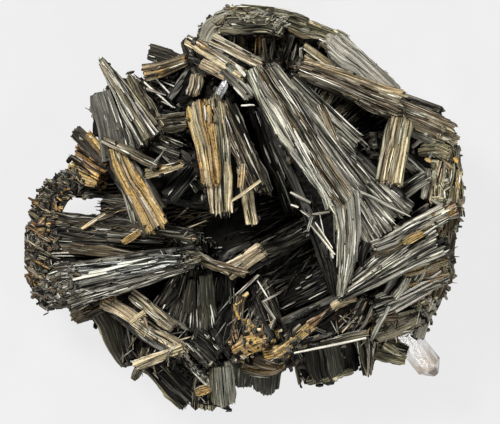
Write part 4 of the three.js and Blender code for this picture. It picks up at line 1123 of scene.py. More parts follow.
@dataclass(frozen=True)
class LathForm:
    """The form of one kind of unit lath."""

    rings: int  # cross-sections
    ridges: int  # along its top, or none for a bevelled one
    wobble: float  # how far its points stray
    torn: float  # how uneven its ends are
    root: float  # its width at its root
    point: float  # its width at its tip
    belly: float = 0.12  # how much wider it is in the middle
    lean: float = 0.1  # how far its ends lie aside
    limit: float = 0.52  # how far it may reach from its middle, across

    def section(self, rng: Random) -> Array:
        """A cross-section one wide and one thick, counter-clockwise from the lower left."""
        if not self.ridges:
            return np.array(((-0.5, -0.5), (0.5, -0.5), (0.5, 0.15), (0.26, 0.5), (-0.26, 0.5), (-0.5, 0.15)))
        count = 2 * self.ridges
        x = np.linspace(0.46, -0.46, count) + rng.normal(0, 0.014, count)
        deep = rng.uniform(0.08, 0.34, count)
        deep[1::2] = rng.uniform(0.0, 0.08, count // 2)
        top = np.column_stack([x, 0.5 - deep])
        return np.vstack([((-0.5, -0.5), (0.5, -0.5), (0.5, -0.1)), top, ((-0.5, -0.1),)])

    def width_at(self, share: float) -> float:
        """Its width at a share of its length: full in the middle, narrower at both ends."""
        belly = 1 + self.belly * math.sin(math.pi * share)
        narrow = belly * (self.root + (self.point - self.root) * max(0.0, share - 0.55) / 0.45)
        if share < 0.3:
            narrow *= min(1.0, 0.75 + share)
        return narrow

    def shape(self, rng: Random) -> tuple[Array, Faces]:
        """The points and faces of one variant."""
        section = self.section(rng)
        sides = len(section)
        points = []
        lean = rng.normal(0, self.lean, 2)
        for k in range(self.rings):
            t = k / (self.rings - 1)
            narrow = self.width_at(t)
            thin = 0.4 + 0.6 * min(narrow, 1)
            ring = (section + rng.normal(0, self.wobble, section.shape)) * (narrow, thin)
            ring = np.clip(ring + lean * (t - 0.5) * 0.3, -self.limit, self.limit)
            at_end = k in (0, self.rings - 1)
            ends = rng.normal(0, self.torn, sides) if at_end else np.zeros(sides)
            points.append(np.column_stack([ring, np.full(sides, t - 0.5) + ends]))
        grid = np.arange(self.rings * sides).reshape(self.rings, sides)
        faces = quads(np.column_stack([grid, grid[:, 0]]))
        faces.append(tuple(reversed(range(sides))))
        faces.append(tuple(range((self.rings - 1) * sides, self.rings * sides)))
        return np.vstack(points), faces


class LathKinds:
    """The unit laths: one metre long along Z, one wide along X and one thick along Y."""

    seed = 11
    forms = {
        LATH: LathForm(4, 0, 0.06, 0.02, 1.0, 0.8),
        SPLINTER: LathForm(4, 0, 0.07, 0.02, 1.0, 0.1),
        PLATE: LathForm(4, 5, 0.02, 0.035, 1.0, 0.85),
        NEEDLE: LathForm(3, 0, 0.06, 0.02, 0.8, 0.3),
        CRUMB: LathForm(2, 0, 0.12, 0.12, 1.0, 0.8),
    }

    def collection(self) -> bpy.types.Collection:
        """All variants, in the order of the Kind ranges."""
        rng = np.random.default_rng(self.seed)
        held = bpy.data.collections.new("lath_kinds")
        for kind, form in self.forms.items():
            for number in range(*kind.value):
                mesh = plain_mesh(f"lath_{number:02d}", *form.shape(rng))
                share = read_points(mesh) + 0.5
                # The second map holds the height in the section, which paints the lower sides darker as
                # shade, and how near a side edge, which places painted highlights.
                near_edge = np.abs(share[:, 0] - 0.5) * 2
                relief = np.column_stack([share[:, 1], near_edge])
                give_maps(mesh, {"UVMap": share[:, (0, 2)], "Relief": relief})
                held.objects.link(bpy.data.objects.new(mesh.name, mesh))
        return held


class LathTree:
    """The Geometry Nodes tree that grows a lath on each point of a mesh.

    The point mesh carries each lath's turn, size and variant, and what its surface needs.
    """

    inputs = {
        "Geometry": "Geometry", "Kinds": "Collection", "Surface": "Material", "Bend": "Float",
        "Bend Scale": "Float", "Chip": "Float", "Chip Scale": "Float", "Plates": "Object",
    }

    def build(self) -> bpy.types.NodeTree:
        """Builds the tree."""
        tree = bpy.data.node_groups.new("grow_laths", "GeometryNodeTree")
        for label, kind in self.inputs.items():
            tree.interface.new_socket(label, in_out="INPUT", socket_type="NodeSocket" + kind)
        tree.interface.new_socket("Geometry", in_out="OUTPUT", socket_type="NodeSocketGeometry")
        nodes = Nodes(tree)
        given = nodes.make("NodeGroupInput")
        want = {socket.name: Value(nodes, socket) for socket in given.outputs}
        grown = self._laths(nodes, want)
        plates = nodes.out("GeometryNodeObjectInfo", "Geometry", {"transform_space": "ORIGINAL"}, {
            "Object": want["Plates"],
        })
        real = nodes.out("GeometryNodeRealizeInstances", 0, None, {0: grown})
        joined = nodes.make("GeometryNodeJoinGeometry", None, {0: real})
        tree.links.new(plates.socket, joined.inputs[0])
        push = nodes.vector("ADD", {
            0: self._drift(nodes, want["Bend Scale"], want["Bend"]),
            1: self._drift(nodes, want["Chip Scale"], want["Chip"]),
        })
        moved = nodes.out("GeometryNodeSetPosition", 0, None, {
            "Geometry": Value(nodes, joined.outputs[0]), "Offset": push,
        })
        dressed = nodes.out("GeometryNodeSetMaterial", 0, None, {
            "Geometry": moved, "Material": want["Surface"],
        })
        nodes.make("NodeGroupOutput", None, {0: dressed})
        return tree

    @staticmethod
    def _laths(nodes: Nodes, want: dict[str, Value]) -> Value:
        """A unit lath on each point, turned and sized as the point says."""

        def named(data_type: str, name: str) -> Value:
            """A point's own value by name."""
            return nodes.out("GeometryNodeInputNamedAttribute", 0, {"data_type": data_type}, {0: name})

        kinds = nodes.out("GeometryNodeCollectionInfo", 0, None, {
            "Collection": want["Kinds"], "Separate Children": True, "Reset Children": True,
        })
        turn = nodes.out("FunctionNodeEulerToRotation", 0, None, {0: named("FLOAT_VECTOR", "turn")})
        return nodes.out("GeometryNodeInstanceOnPoints", 0, None, {
            "Points": want["Geometry"], "Instance": kinds, "Pick Instance": True,
            "Instance Index": named("INT", "variant"), "Rotation": turn,
            "Scale": named("FLOAT_VECTOR", "size"),
        })

    @staticmethod
    def _drift(nodes: Nodes, scale: Value, amount: Value) -> Value:
        """A smooth push that changes from place to place."""
        position = nodes.out("GeometryNodeInputPosition", 0)
        inputs = {"Vector": position, "Scale": scale, "Detail": 1.0}
        cloud = nodes.out("ShaderNodeTexNoise", "Color", None, inputs)
        centred = nodes.vector("SUBTRACT", {0: cloud, 1: (0.5, 0.5, 0.5)})
        return nodes.vector("SCALE", {0: centred, "Scale": amount})


def uneven_parts(
    rng: Random, total: float, mean: float, uneven: float
) -> tuple[Array, Array]:
    """Splits a width into uneven parts.

    Args:
        rng: where the differences come from.
        total: the whole width.
        mean: the mean width of a part.
        uneven: how much they differ, as a logarithm.

    Returns:
        The middle and the width of each part, as shares of the total.
    """
    count = max(1, round(total / mean))
    parts = np.exp(rng.normal(0, uneven, count))
    parts /= parts.sum()
    return np.cumsum(parts) - 0.5 * parts, parts


def slow_wave(share: Array, turns: Range, starts: Array) -> Array:
    """Two slow waves laid over each other, from 0 to 1, with their turns and starts in radians."""
    first, second = turns
    return 0.5 + 0.25 * np.sin(first * share + starts[0]) + 0.25 * np.sin(second * share + starts[1])


def quads(index: Array) -> Faces:
    """The faces between the points of a grid."""
    a, b, c, d = index[:-1, :-1], index[:-1, 1:], index[1:, 1:], index[1:, :-1]
    return np.stack([a, b, c, d], axis=-1).reshape(-1, 4).tolist()


@dataclass
class Plate:
    """The striated plate on top of a blade: a grid of points with layered sides, in millimetres."""

    blade: Blade
    rng: Random
    column: float = 0.2  # how far apart its points lie across it
    row: float = 1.0  # how far apart they lie along it
    layers: int = 4  # how many rows of faces its sides have
    deep: float = 1.7  # how far its sides reach down
    rib: float = 2.2  # how many laths wide a rib is

    def __post_init__(self) -> None:
        """Divides its width into ribs."""
        self.width = max(self.blade.width)
        self.length = self.blade.length
        self.columns = max(9, round(self.width / self.column) + 1)
        self.rows = max(5, round(self.length / self.row) + 1)
        self.share = np.linspace(0, 1, self.columns)
        self.middles, parts = uneven_parts(self.rng, self.width, self.rib * self.blade.lath, 0.6)
        self.ribs = len(parts)
        self.limits = np.cumsum(parts)
        self.owner = np.minimum(np.searchsorted(self.limits, self.share), self.ribs - 1)

    def _waves(self, columns: int, drift: float) -> Array:
        """Heights that differ from column to column and change slowly along the rows."""
        knots = max(2, round(self.rows / drift) + 1)
        held = self.rng.normal(0, 1, (knots, columns))
        where = np.linspace(0, knots - 1, self.rows)
        low = np.minimum(where.astype(int), knots - 2)
        part = (where - low)[:, None]
        return held[low] * (1 - part) + held[low + 1] * part

    def relief(self) -> tuple[Array, Array, Array]:
        """The shape of its top.

        Returns:
            How far each point stands out; its level, which darkens its colour as painted shade in the grooves
            and clefts and varies with the striae; and how strongly each column is paled as a painted
            highlight near a rim or a rib border.
        """
        rng = self.rng
        share, owner = self.share, self.owner
        far = 9.0
        border = np.abs(share[:, None] - self.limits[None, :-1]).min(axis=1, initial=far)
        border = border * self.width
        rim = np.minimum(share, 1 - share) * self.width
        fine = self._waves(self.columns, 5.0)
        coarse = self._waves(self.columns, 9.0)
        coarse = (np.roll(coarse, 1, 1) + coarse + np.roll(coarse, -1, 1) + np.roll(coarse, 2, 1)) / 2
        cleft = self._waves(self.columns, 12.0) < -1.5
        step = rng.uniform(-0.45, 0.0, self.ribs)[owner]
        tilt = rng.normal(0, 0.12, self.ribs)[owner] * (share - self.middles[owner]) * self.width
        groove = np.clip(1 - border / 0.24, 0, 1)[None, :]
        fall = np.clip(1 - rim / 0.7, 0, 1) ** 2
        grain = self.blade.look.value.grain
        striae = grain * (0.07 * fine + 0.1 * coarse - 0.3 * cleft)
        height = grain**0.5 * (step + tilt - 0.4 * groove) + striae - 0.45 * fall
        # Painted shade: the level drops in the grooves between ribs and in the clefts; it also varies with
        # the striae.
        level = 0.75 + grain * (0.16 * fine + 0.12 * coarse - 0.7 * groove - 0.5 * cleft)
        # Painted highlight: how pale a column is painted near the rims and just beside each rib border.
        shoulder = np.clip(1 - np.abs(border - 0.35) / 0.2, 0, 1) * 0.8
        edge = np.maximum(np.clip(1 - rim / 0.5, 0, 1), shoulder)
        return height, level, edge

    def top(self, height: Array) -> Array:
        """The places of its top's points, with torn ends and an uneven border."""
        rng, blade, share = self.rng, self.blade, self.share
        root_in, tip_in = blade.rounding(share)
        wave = rng.uniform(0, 2 * math.pi, 2)
        frayed = min(1.0, 2 * blade.ragged)
        torn = 0.5 * slow_wave(share, (7, 17), wave) + 0.5 * rng.random(self.ribs)[self.owner]
        short = blade.ragged * torn + frayed * rng.uniform(0, 0.35, self.columns)
        late = rng.uniform(-0.2, 0.6, self.ribs)[self.owner] + rng.uniform(0, 0.3, self.columns)
        first = (frayed * late + root_in) / self.length
        last = 1 - (short + tip_in) / self.length
        t = first + (last - first) * self.run
        edges = 0.22 * self._waves(2, 4.0)
        side = (share - 0.5) * blade.width_at(t) + edges[:, :1] * (1 - share) + edges[:, 1:] * share
        rise = 0.5 * blade.thick * blade.thick_at(t) + height
        return blade.place(t * self.length, side + blade.bend(t), rise)

    @property
    def run(self) -> Array:
        """How far along it each row lies, as a share."""
        return np.linspace(0, 1, self.rows)[:, None]

    def border(self) -> Array:
        """The points of its border in order, as numbers in the grid."""
        grid = np.arange(self.rows * self.columns).reshape(self.rows, self.columns)
        return np.concatenate([grid[0], grid[1:, -1], grid[-1, -2::-1], grid[-2:0:-1, 0]])

    def sides(self, place: Array, around: Array) -> list[Array]:
        """The places of its sides' points, layer by layer from the top down."""
        rng = self.rng
        along, across, out = self.blade.axes()
        outward = np.zeros((self.rows, self.columns, 3))
        outward[0], outward[-1] = -along, along
        outward[:, 0], outward[:, -1] = -across, across
        edge_place = place.reshape(-1, 3)[around]
        edge_out = outward.reshape(-1, 3)[around]
        deep = min(self.deep, self.blade.thick)
        band = []
        for k in range(self.layers):
            push = rng.uniform(-0.35, 0.15) + rng.uniform(-0.12, 0.12, len(around))
            band.append(edge_place - out * (deep * (k + 1) / self.layers) + edge_out * push[:, None])
        return band

    def faces(self, start: int) -> Faces:
        """Its faces, with points numbered from a start."""
        around = self.border()
        size = self.rows * self.columns
        grid = start + np.arange(size).reshape(self.rows, self.columns)
        rings = start + size + np.arange(self.layers * len(around)).reshape(self.layers, -1)
        above = np.vstack([around + start, rings])
        closed = np.column_stack([above, above[:, 0]])
        return quads(grid) + quads(closed[::-1]) + self._underside(rings[-1])

    def _underside(self, ring: Array) -> Faces:
        """The faces that close the lowest ring of the sides."""
        rows, columns = self.rows, self.columns
        right = ring[columns - 1:columns + rows - 1]
        left = np.concatenate([ring[:1], ring[:columns + rows + columns - 3:-1]])
        start = ring[:columns]
        end = ring[columns + rows - 2:2 * columns + rows - 2]
        faces = [(left[1], right[1], *start[::-1])]
        for k in range(1, rows - 2):
            faces.append((left[k], left[k + 1], right[k + 1], right[k]))
        faces.append((right[rows - 2], left[rows - 2], *end[::-1]))
        return [tuple(int(i) for i in face) for face in faces]

    def colours(self) -> tuple[Array, Array]:
        """The colour with its grain, and the finish, of each column of points."""
        rng, owner = self.rng, self.owner
        finishes = [self.blade.look_at(each).value for each in self.share]
        spread = np.array([f.spread for f in finishes])
        rib_shade = rng.normal(0, 1, self.ribs)[owner] * spread * 0.55
        line_shade = rng.normal(0, 0.18 * self.blade.look.value.grain, self.columns)
        tint = np.array([f.colour for f in finishes]) * np.exp(rib_shade + line_shade)[:, None]
        tint = tint * (1 + rng.normal(0, HUE_SPREAD, (self.ribs, 3))[owner])
        habit = np.array([(f.rust, f.rim, f.sheen) for f in finishes])
        habit = habit * rng.uniform(0.6, 1.2, (self.ribs, 3))[owner]
        tint = np.column_stack([np.clip(tint, *TINT_LIMITS), [f.grain for f in finishes]])
        return tint, np.clip(habit, 0, 1)

    def rows_of(self) -> dict[str, Array]:
        """Its points, and the values that their surface needs, first on its top and then on its sides."""
        rng, layers = self.rng, self.layers
        height, level, edge = self.relief()
        top = self.top(height)
        around = self.border()
        sides = self.sides(top, around)
        colours, habits = self.colours()
        count = layers * len(around)
        column = np.tile(np.arange(self.columns), self.rows)
        picked = np.concatenate([column, np.tile(column[around], layers)])
        # Painted shade on the sides: each layer gets a random level, mostly darker than the top.
        side_shade = np.repeat(rng.uniform(0.15, 0.9, layers), len(around)) + rng.uniform(-0.15, 0.15, count)
        build = (self.width, self.length, rng.random())
        runs = np.repeat(self.run.ravel(), self.columns)
        shares = np.tile(self.share, self.rows)
        side_shares = np.tile(shares[around], layers) + np.repeat(np.arange(layers) * 0.07, len(around))
        top_level = np.broadcast_to(level, (self.rows, self.columns)).ravel()
        return {
            "points": np.vstack([top.reshape(-1, 3), *sides]),
            "tint": colours[picked],
            "habit": habits[picked],
            "build": np.tile(build, (len(picked), 1)),
            "UVMap": np.column_stack([
                np.concatenate([shares, side_shares]), np.concatenate([runs, np.tile(runs[around], layers)]),
            ]),
            "Relief": np.column_stack([
                np.concatenate([top_level, side_shade]),
                np.concatenate([np.tile(edge, self.rows), np.full(count, 0.3)]),
            ]),
        }


@dataclass
class Rows:
    """Rows of numbers under names, which are gathered part by part."""

    parts: dict[str, list[Array]] = field(default_factory=dict)

    def add(self, rows: dict[str, Array]) -> None:
        """Adds rows under their names."""
        for name, part in rows.items():
            self.parts.setdefault(name, []).append(part)

    def __getitem__(self, name: str) -> Array:
        """All rows of a name."""
        return np.concatenate(self.parts[name])

    def count(self, name: str) -> int:
        """How many rows a name has."""
        return sum(len(part) for part in self.parts.get(name, []))


@dataclass
class Laths:
    """Laths, with an entry or a row for each, in millimetres."""

    looks: list[Look]
    kinds: list[Kind]
    starts: Array
    ends: Array
    outs: Array  # the way their broad faces look
    sections: Array  # their widths and thicknesses


# How laths grow, in millimetres. A pair is the least and the most.
FIRST_LAYER = (0.35, 1.8)
LAYER = 1.5
LEAST_LAYER = 0.3
NARROWEST_LATH = 1.0
RIDGED_FROM = 1.0
LATE_START = 1.2
INSET = 0.3
LATH_PROUD = (-0.3, 0.06)
HALF_PROUD = (-0.3, 0.12)
SLIVER_PROUD = (-0.12, 0.14)
SLIVER_WIDTH = (0.16, 0.42)
TWIST_RADIANS = 0.14

# The same as shares of a lath's own size, of its blade's length or of all laths.
WIDTH_SHARE = (1.0, 1.25)
DEPTH_SHARE = (0.95, 1.3)
BREAK_SHARE = (0.3, 0.8)
GAP_SHARE = (-0.03, 0.04)
SLIVER_SHARE = (0.06, 0.4)
SPLINTER_SHARE = 0.2
BROKEN_SHARE = 0.22

# How many slivers lie on a square millimetre, and how much room a lath has on a stump's side or end.
SLIVERS_PER_MM2 = 0.16
SIDE_ROOM = 5.5
END_ROOM = 4.0


def euler_turns(x_axis: Array, y_axis: Array, z_axis: Array) -> Array:
    """The turns about X, Y and Z that carry the three axes to these directions."""
    return np.column_stack([
        np.arctan2(y_axis[:, 2], z_axis[:, 2]),
        np.arcsin(np.clip(-x_axis[:, 2], -1, 1)),
        np.arctan2(x_axis[:, 1], x_axis[:, 0]),
    ])


@dataclass
class Seedbed:
    """What all lath pieces share, and how they grow from their points."""

    tree: bpy.types.NodeTree
    kinds: bpy.types.Collection
    surface: Surface
    low: Vector  # the lowest corner of the cluster's box
    high: Vector  # the highest corner of it
    bend: float = 0.9 * MM  # how far places a few millimetres apart are pushed
    bend_scale: float = 90.0  # such pushes to a metre
    chip: float = 0.2 * MM  # how far the laths' corners are pushed
    chip_scale: float = 900.0  # such pushes to a metre

    def grow(self, name: str, points: Mesh, plates: Mesh) -> Object:
        """Runs the tree on a point mesh and keeps the result as a plain mesh.

        Args:
            name: of the piece.
            points: the mesh with one point for each lath.
            plates: the mesh of its plates, which are bent with the laths.

        Returns:
            The piece, inside the cluster's box.
        """
        bed = add_object(name + "_seedbed", points)
        board = add_object(name + "_board", plates)
        modifier = bed.modifiers.new("Laths", "NODES")
        modifier.node_group = self.tree
        settings = {
            "Kinds": self.kinds, "Surface": self.surface, "Plates": board, "Bend": self.bend,
            "Bend Scale": self.bend_scale, "Chip": self.chip, "Chip Scale": self.chip_scale,
        }
        for item in self.tree.interface.items_tree:
            if item.in_out == "INPUT" and item.name in settings:
                modifier[item.identifier] = settings[item.name]
        mesh = evaluated_mesh(bed, name)
        bpy.data.objects.remove(bed)
        bpy.data.objects.remove(board)
        move_points(mesh, np.clip(read_points(mesh), self.low, self.high))
        return finish_piece(name, mesh)

    def clear(self) -> None:
        """Takes the unit laths out of the scene."""
        for held in list(self.kinds.objects):
            bpy.data.objects.remove(held)
        bpy.data.collections.remove(self.kinds)


@dataclass
class LathCloud:
    """The laths and plates of one piece, in millimetres until it is made."""

    seed: int
    laths: Rows = field(default_factory=Rows)  # one for each lath
    plates: Rows = field(default_factory=Rows)  # one for each point of a plate
    faces: Faces = field(default_factory=list)

    def __post_init__(self) -> None:
        """Starts the random stream."""
        self.rng = np.random.default_rng(self.seed)

    def add(self, laths: Laths) -> None:
        """Adds laths, each with a shade and a variant of its own."""
        rng = self.rng
        count = len(laths.starts)
        finishes = [look.value for look in laths.looks]
        spread = np.array([f.spread for f in finishes])
        tint = np.array([f.colour for f in finishes])
        tint = tint * np.exp(rng.normal(0, 1, count) * spread - 0.5 * spread**2)[:, None]
        tint = np.clip(tint * (1 + rng.normal(0, HUE_SPREAD, (count, 3))), *TINT_LIMITS)
        habit = np.array([(f.rust, f.rim, f.sheen) for f in finishes])
        self.laths.add({
            "start": laths.starts, "end": laths.ends, "out": laths.outs, "section": laths.sections,
            "tint": np.column_stack([tint, [f.grain for f in finishes]]),
            "habit": np.clip(habit * rng.uniform(0.5, 1.3, (count, 3)), 0, 1),
            "variant": np.array([rng.integers(*kind.value) for kind in laths.kinds]),
        })

    def add_blade(self, blade: Blade) -> None:
        """Adds a blade: a plate on top unless it is one lath, layers of laths, and loose slivers."""
        if not blade.single:
            plate = Plate(blade, self.rng)
            self.faces += plate.faces(self.plates.count("points"))
            self.plates.add(plate.rows_of())
        wave = self.rng.uniform(0, 2 * math.pi, 2)
        for top, bottom in self._layers(blade):
            self._add_layer(blade, top, bottom, wave)
        if blade.fuzz:
            self._add_fuzz(blade)

    def _layers(self, blade: Blade) -> list[Range]:
        """How deep each layer of a blade's laths begins and ends."""
        if blade.single:
            return [(0.0, blade.thick)]
        start, end = FIRST_LAYER
        layers = [(start, min(end, blade.thick))]
        while layers[-1][1] < blade.thick - LEAST_LAYER:
            top = layers[-1][1]
            layers.append((top, min(top + LAYER, blade.thick)))
        return layers

    def _add_layer(self, blade: Blade, top: float, bottom: float, wave: Array) -> None:
        """Adds one layer of a blade's laths. In a bent blade each is a chain of short ones.

        Args:
            blade: the blade.
            top: how deep under the blade's top the layer begins.
            bottom: how deep it ends.
            wave: where the waves of its torn tip start.
        """
        rng = self.rng
        single = blade.single
        links = 4 if blade.bow else 1
        mean = max(blade.lath, NARROWEST_LATH)
        share, part = uneven_parts(rng, max(blade.width), mean, 0.0 if single else 0.5)
        count = len(share)
        lift = np.zeros(count) if single else rng.uniform(*LATH_PROUD, count) * min(1.0, bottom - top)
        short = blade.ragged * (0.55 * slow_wave(share, (9, 21), wave) + 0.45 * rng.random(count))
        root_in, tip_in = blade.rounding(share)
        begin = np.zeros(count) if single else (rng.uniform(0, LATE_START, count) + root_in) / blade.length
        close = 1 - (short + tip_in) / blade.length
        of_links = (np.tile(each, links) for each in (share, part, lift, begin, close - begin))
        share, part, lift, begin, span = of_links
        begin = begin + span * np.repeat(np.arange(links), count) / links
        count *= links
        level = 0.5 * blade.thick - 0.5 * (top + bottom)
        places = []
        for t in (begin, begin + span / links):
            side = (share - 0.5) * np.maximum(blade.width_at(t) - INSET, 0.2)
            rise = level * blade.thick_at(t) + lift
            places.append(blade.place(t * blade.length, side + blade.bend(t), rise))
        broad = part * 0.5 * sum(blade.width) * rng.uniform(*WIDTH_SHARE, count)
        deep = (bottom - top) * 0.5 * (1 + blade.taper) * rng.uniform(*DEPTH_SHARE, count)
        kinds = [
            PLATE if wide > RIDGED_FROM else SPLINTER if chance < SPLINTER_SHARE else LATH
            for wide, chance in zip(broad, rng.random(count))
        ]
        looks = [blade.look_at(each) for each in share]
        sections = np.column_stack([broad, deep])
        self._add_broken(Laths(looks, kinds, *places, places[0], sections), blade)

    def _add_broken(self, laths: Laths, blade: Blade) -> None:
        """Adds a blade's laths with their broad faces out, some of them broken in two."""
        rng = self.rng
        count = len(laths.starts)
        _, across, out = blade.axes()
        cut = (rng.random(count) < BROKEN_SHARE) & (not blade.single)
        middle = rng.uniform(*BREAK_SHARE, count)[:, None]
        gap = rng.uniform(*GAP_SHARE, count)[:, None]
        span = laths.ends - laths.starts
        first_ends = np.where(cut[:, None], laths.starts + span * (middle - gap), laths.ends)
        roll = rng.normal(0, 0.0 if blade.single else TWIST_RADIANS, count)[:, None]
        outs = out * np.cos(roll) + across * np.sin(roll)
        self.add(replace(laths, ends=first_ends, outs=outs))
        if cut.any():
            picked = np.flatnonzero(cut)
            shift = out * rng.uniform(*HALF_PROUD, len(picked))[:, None]
            self.add(Laths(
                [laths.looks[i] for i in picked], [laths.kinds[i] for i in picked],
                (laths.starts + span * middle)[picked] + shift, laths.ends[picked] + shift,
                outs[picked], laths.sections[picked],
            ))

    def _add_fuzz(self, blade: Blade) -> None:
        """Adds loose slivers nearly along a blade's top face."""
        rng = self.rng
        length = blade.length
        along, across, out = blade.axes()
        count = round(blade.fuzz * SLIVERS_PER_MM2 * length * 0.5 * sum(blade.width))
        if not count:
            return
        reach = rng.uniform(*SLIVER_SHARE, count) * length
        half_share = 0.5 * reach / length
        middle = rng.uniform(half_share, 1 - half_share)
        side = rng.uniform(-0.5, 0.5, count)
        fan = (side * (blade.width[1] - blade.width[0]) + 4 * blade.bow * (1 - 2 * middle)) / length
        heading = fan + rng.normal(0, 0.03, count)
        level = 0.5 * blade.thick * blade.thick_at(middle) + rng.uniform(*SLIVER_PROUD, count)
        spot = blade.place(middle * length, side * blade.width_at(middle) + blade.bend(middle), level)
        way = along + across * heading[:, None] + out * rng.normal(0, 0.02, count)[:, None]
        looks = [
            WHITE if c < 0.2 else BLACK if c < 0.4 else PALE if c < 0.6 else blade.look
            for c in rng.random(count)
        ]
        broad = rng.uniform(*SLIVER_WIDTH, count)
        sections = np.column_stack([broad, broad * rng.uniform(0.7, 1.2, count)])
        outs = out + across * rng.normal(0, 0.5, count)[:, None]
        half = 0.5 * reach[:, None] * way
        self.add(Laths(looks, [NEEDLE] * count, spot - half, spot + half, outs, sections))

    def add_stump(self, stump: Stump) -> None:
        """Adds laths down the two long sides and the two ends of a stump."""
        for side in (-1, 1):
            self._add_stump_side(stump, side)
        for at_tip in (False, True):
            self._add_stump_end(stump, at_tip)

    def _add_stump_side(self, stump: Stump, side: int) -> None:
        """Adds laths that lie along one long side of a stump, sloping up or down a little."""
        rng = self.rng
        length = stump.length
        _, across, out = stump.axes()
        count = round(stump.thick * length / SIDE_ROOM)
        depth = rng.uniform(-0.5, 0.46, count) * stump.thick
        reach = rng.uniform(0.25, 0.9, count) * length
        begin = rng.uniform(0, 1, count) * (length - reach)
        room = 2 * (0.46 * stump.thick - depth)
        tilt = np.clip(rng.normal(0, 0.16, count) * reach, -room, room)
        outs = across * side + out * rng.normal(0, 0.15, count)[:, None]
        proud = across * (side * rng.uniform(-0.3, 0.35, count))[:, None]
        face = []
        for place, drop in ((begin, -0.5 * tilt), (begin + reach, 0.5 * tilt)):
            width = stump.width[0] + (stump.width[1] - stump.width[0]) * place / length
            face.append(stump.place(place, side * 0.5 * width, depth + drop) + proud)
        sections = np.column_stack([rng.uniform(0.6, 1.6, count), rng.uniform(0.6, 1.2, count)])
        self.add(Laths([stump.look] * count, [LATH] * count, *face, outs, sections))

    def _add_stump_end(self, stump: Stump, at_tip: bool) -> None:
        """Adds laths that stick out of one end of a stump."""
        rng = self.rng
        along, across, out = stump.axes()
        width = stump.width[at_tip]
        count = round(stump.thick * width / END_ROOM)
        middle = np.array(stump.tip if at_tip else stump.root, float)
        facing = along if at_tip else -along
        depth = rng.uniform(-0.5, 0.4, count) * stump.thick
        sideways = rng.uniform(-0.5, 0.5, count) * width
        spot = middle + out * depth[:, None] + across * sideways[:, None]
        back = rng.uniform(1.5, 4, count)[:, None]
        front = rng.uniform(-0.3, 0.7, count)[:, None]
        sway = across * rng.normal(0, 0.3, count)[:, None] + out * rng.normal(0, 0.3, count)[:, None]
        outs = out + across * rng.normal(0, 0.4, count)[:, None]
        sections = np.column_stack([rng.uniform(0.6, 1.4, count), rng.uniform(0.6, 1.3, count)])
        starts, ends = spot - facing * back - sway, spot + facing * front + sway
        self.add(Laths([stump.look] * count, [LATH] * count, starts, ends, outs, sections))

    def add_thicket(self, thicket: Thicket, ground: Ground) -> None:
        """Lays the slivers of a thicket on the ground, as seen from above."""
        rng = self.rng
        spots, normals = [], []
        for aside, ahead in rng.uniform(-1, 1, (2 * thicket.count, 2)):
            if aside**2 + ahead**2 > 1 or len(spots) == thicket.count:
                continue
            x = thicket.centre[0] + aside * thicket.half[0]
            y = thicket.centre[1] + ahead * thicket.half[1]
            met = ground.below(x, y)
            if met is not None and met[0][2] < thicket.ceiling:
                spots.append(met[0])
                normals.append(met[1])
        spots, normals = np.array(spots), np.array(normals)
        count = len(spots)
        turn = np.radians(thicket.heading + rng.normal(0, thicket.sway, count))
        way = np.column_stack([np.cos(turn), np.sin(turn), np.zeros(count)])
        slope = -(way * normals).sum(1) / np.maximum(normals[:, 2], 0.35)
        way[:, 2] = np.clip(slope, -0.5, 0.5) * 0.5
        out = np.column_stack([np.zeros((count, 2)), np.ones(count)])
        self._lay(thicket, spots, way, out)

    def add_litter(self, thicket: Thicket, ground: Ground) -> None:
        """Lays slivers flat all over the ground, but not on top of the cluster."""
        spots, normals = ground.scatter(self.rng, thicket.count)
        highest, steep = 16, 0.4
        kept = (normals[:, 2] < steep) | (spots[:, 2] < highest)
        spots, normals = spots[kept], normals[kept]
        way = np.cross(normals, self.rng.normal(0, 1, normals.shape))
        self._lay(thicket, spots, way, normals)

    def _lay(self, thicket: Thicket, spots: Array, way: Array, out: Array) -> None:
        """Lays slivers on spots of the ground.

        Args:
            thicket: what they are like.
            spots: where their middles are.
            way: the direction of each.
            out: the way out of the ground under each.
        """
        rng = self.rng
        count = len(spots)
        way = way + out * rng.normal(0, thicket.pitch, count)[:, None]
        way /= np.linalg.norm(way, axis=1)[:, None]
        reach = rng.uniform(*thicket.length, count)[:, None]
        middle = spots + out * rng.uniform(*thicket.lift, count)[:, None]
        broad = rng.uniform(*thicket.width, count)
        sections = np.column_stack([broad, broad * rng.uniform(0.5, 1.1, count)])
        looks = [thicket.looks[i] for i in rng.integers(0, len(thicket.looks), count)]
        outs = out + rng.normal(0, 0.45, (count, 3))
        half = 0.5 * reach * way
        self.add(Laths(looks, [thicket.kind] * count, middle - half, middle + half, outs, sections))

    def make(self, name: str, bed: Seedbed) -> Object:
        """Grows the laths and the plates into one plain mesh object."""
        starts, ends, sections = (self.laths[each] * MM for each in ("start", "end", "section"))
        seeds = self.rng.random(len(starts))
        reach = np.linalg.norm(ends - starts, axis=1)
        along = (ends - starts) / reach[:, None]
        across = np.cross(self.laths["out"], along)
        across /= np.linalg.norm(across, axis=1)[:, None]
        points = plain_mesh(name + "_points", (starts + ends) / 2, [])
        give_values(points, {
            "turn": euler_turns(across, np.cross(along, across), along),
            "size": np.column_stack([sections, reach]),
            "build": np.column_stack([sections[:, 0] / MM, reach / MM, seeds]),
            **{each: self.laths[each] for each in ("variant", "tint", "habit")},
        })
        return bed.grow(name, points, self._plate_mesh(name + "_plates"))

    def _plate_mesh(self, name: str) -> Mesh:
        """All plates as one mesh, in metres, with the values that their surface needs."""
        mesh = bpy.data.meshes.new(name)
        if self.faces:
            mesh.from_pydata((self.plates["points"] * MM).tolist(), [], self.faces)
            give_maps(mesh, {each: self.plates[each] for each in ("UVMap", "Relief")})
            give_values(mesh, {each: self.plates[each] for each in ("tint", "habit", "build")})
        return mesh


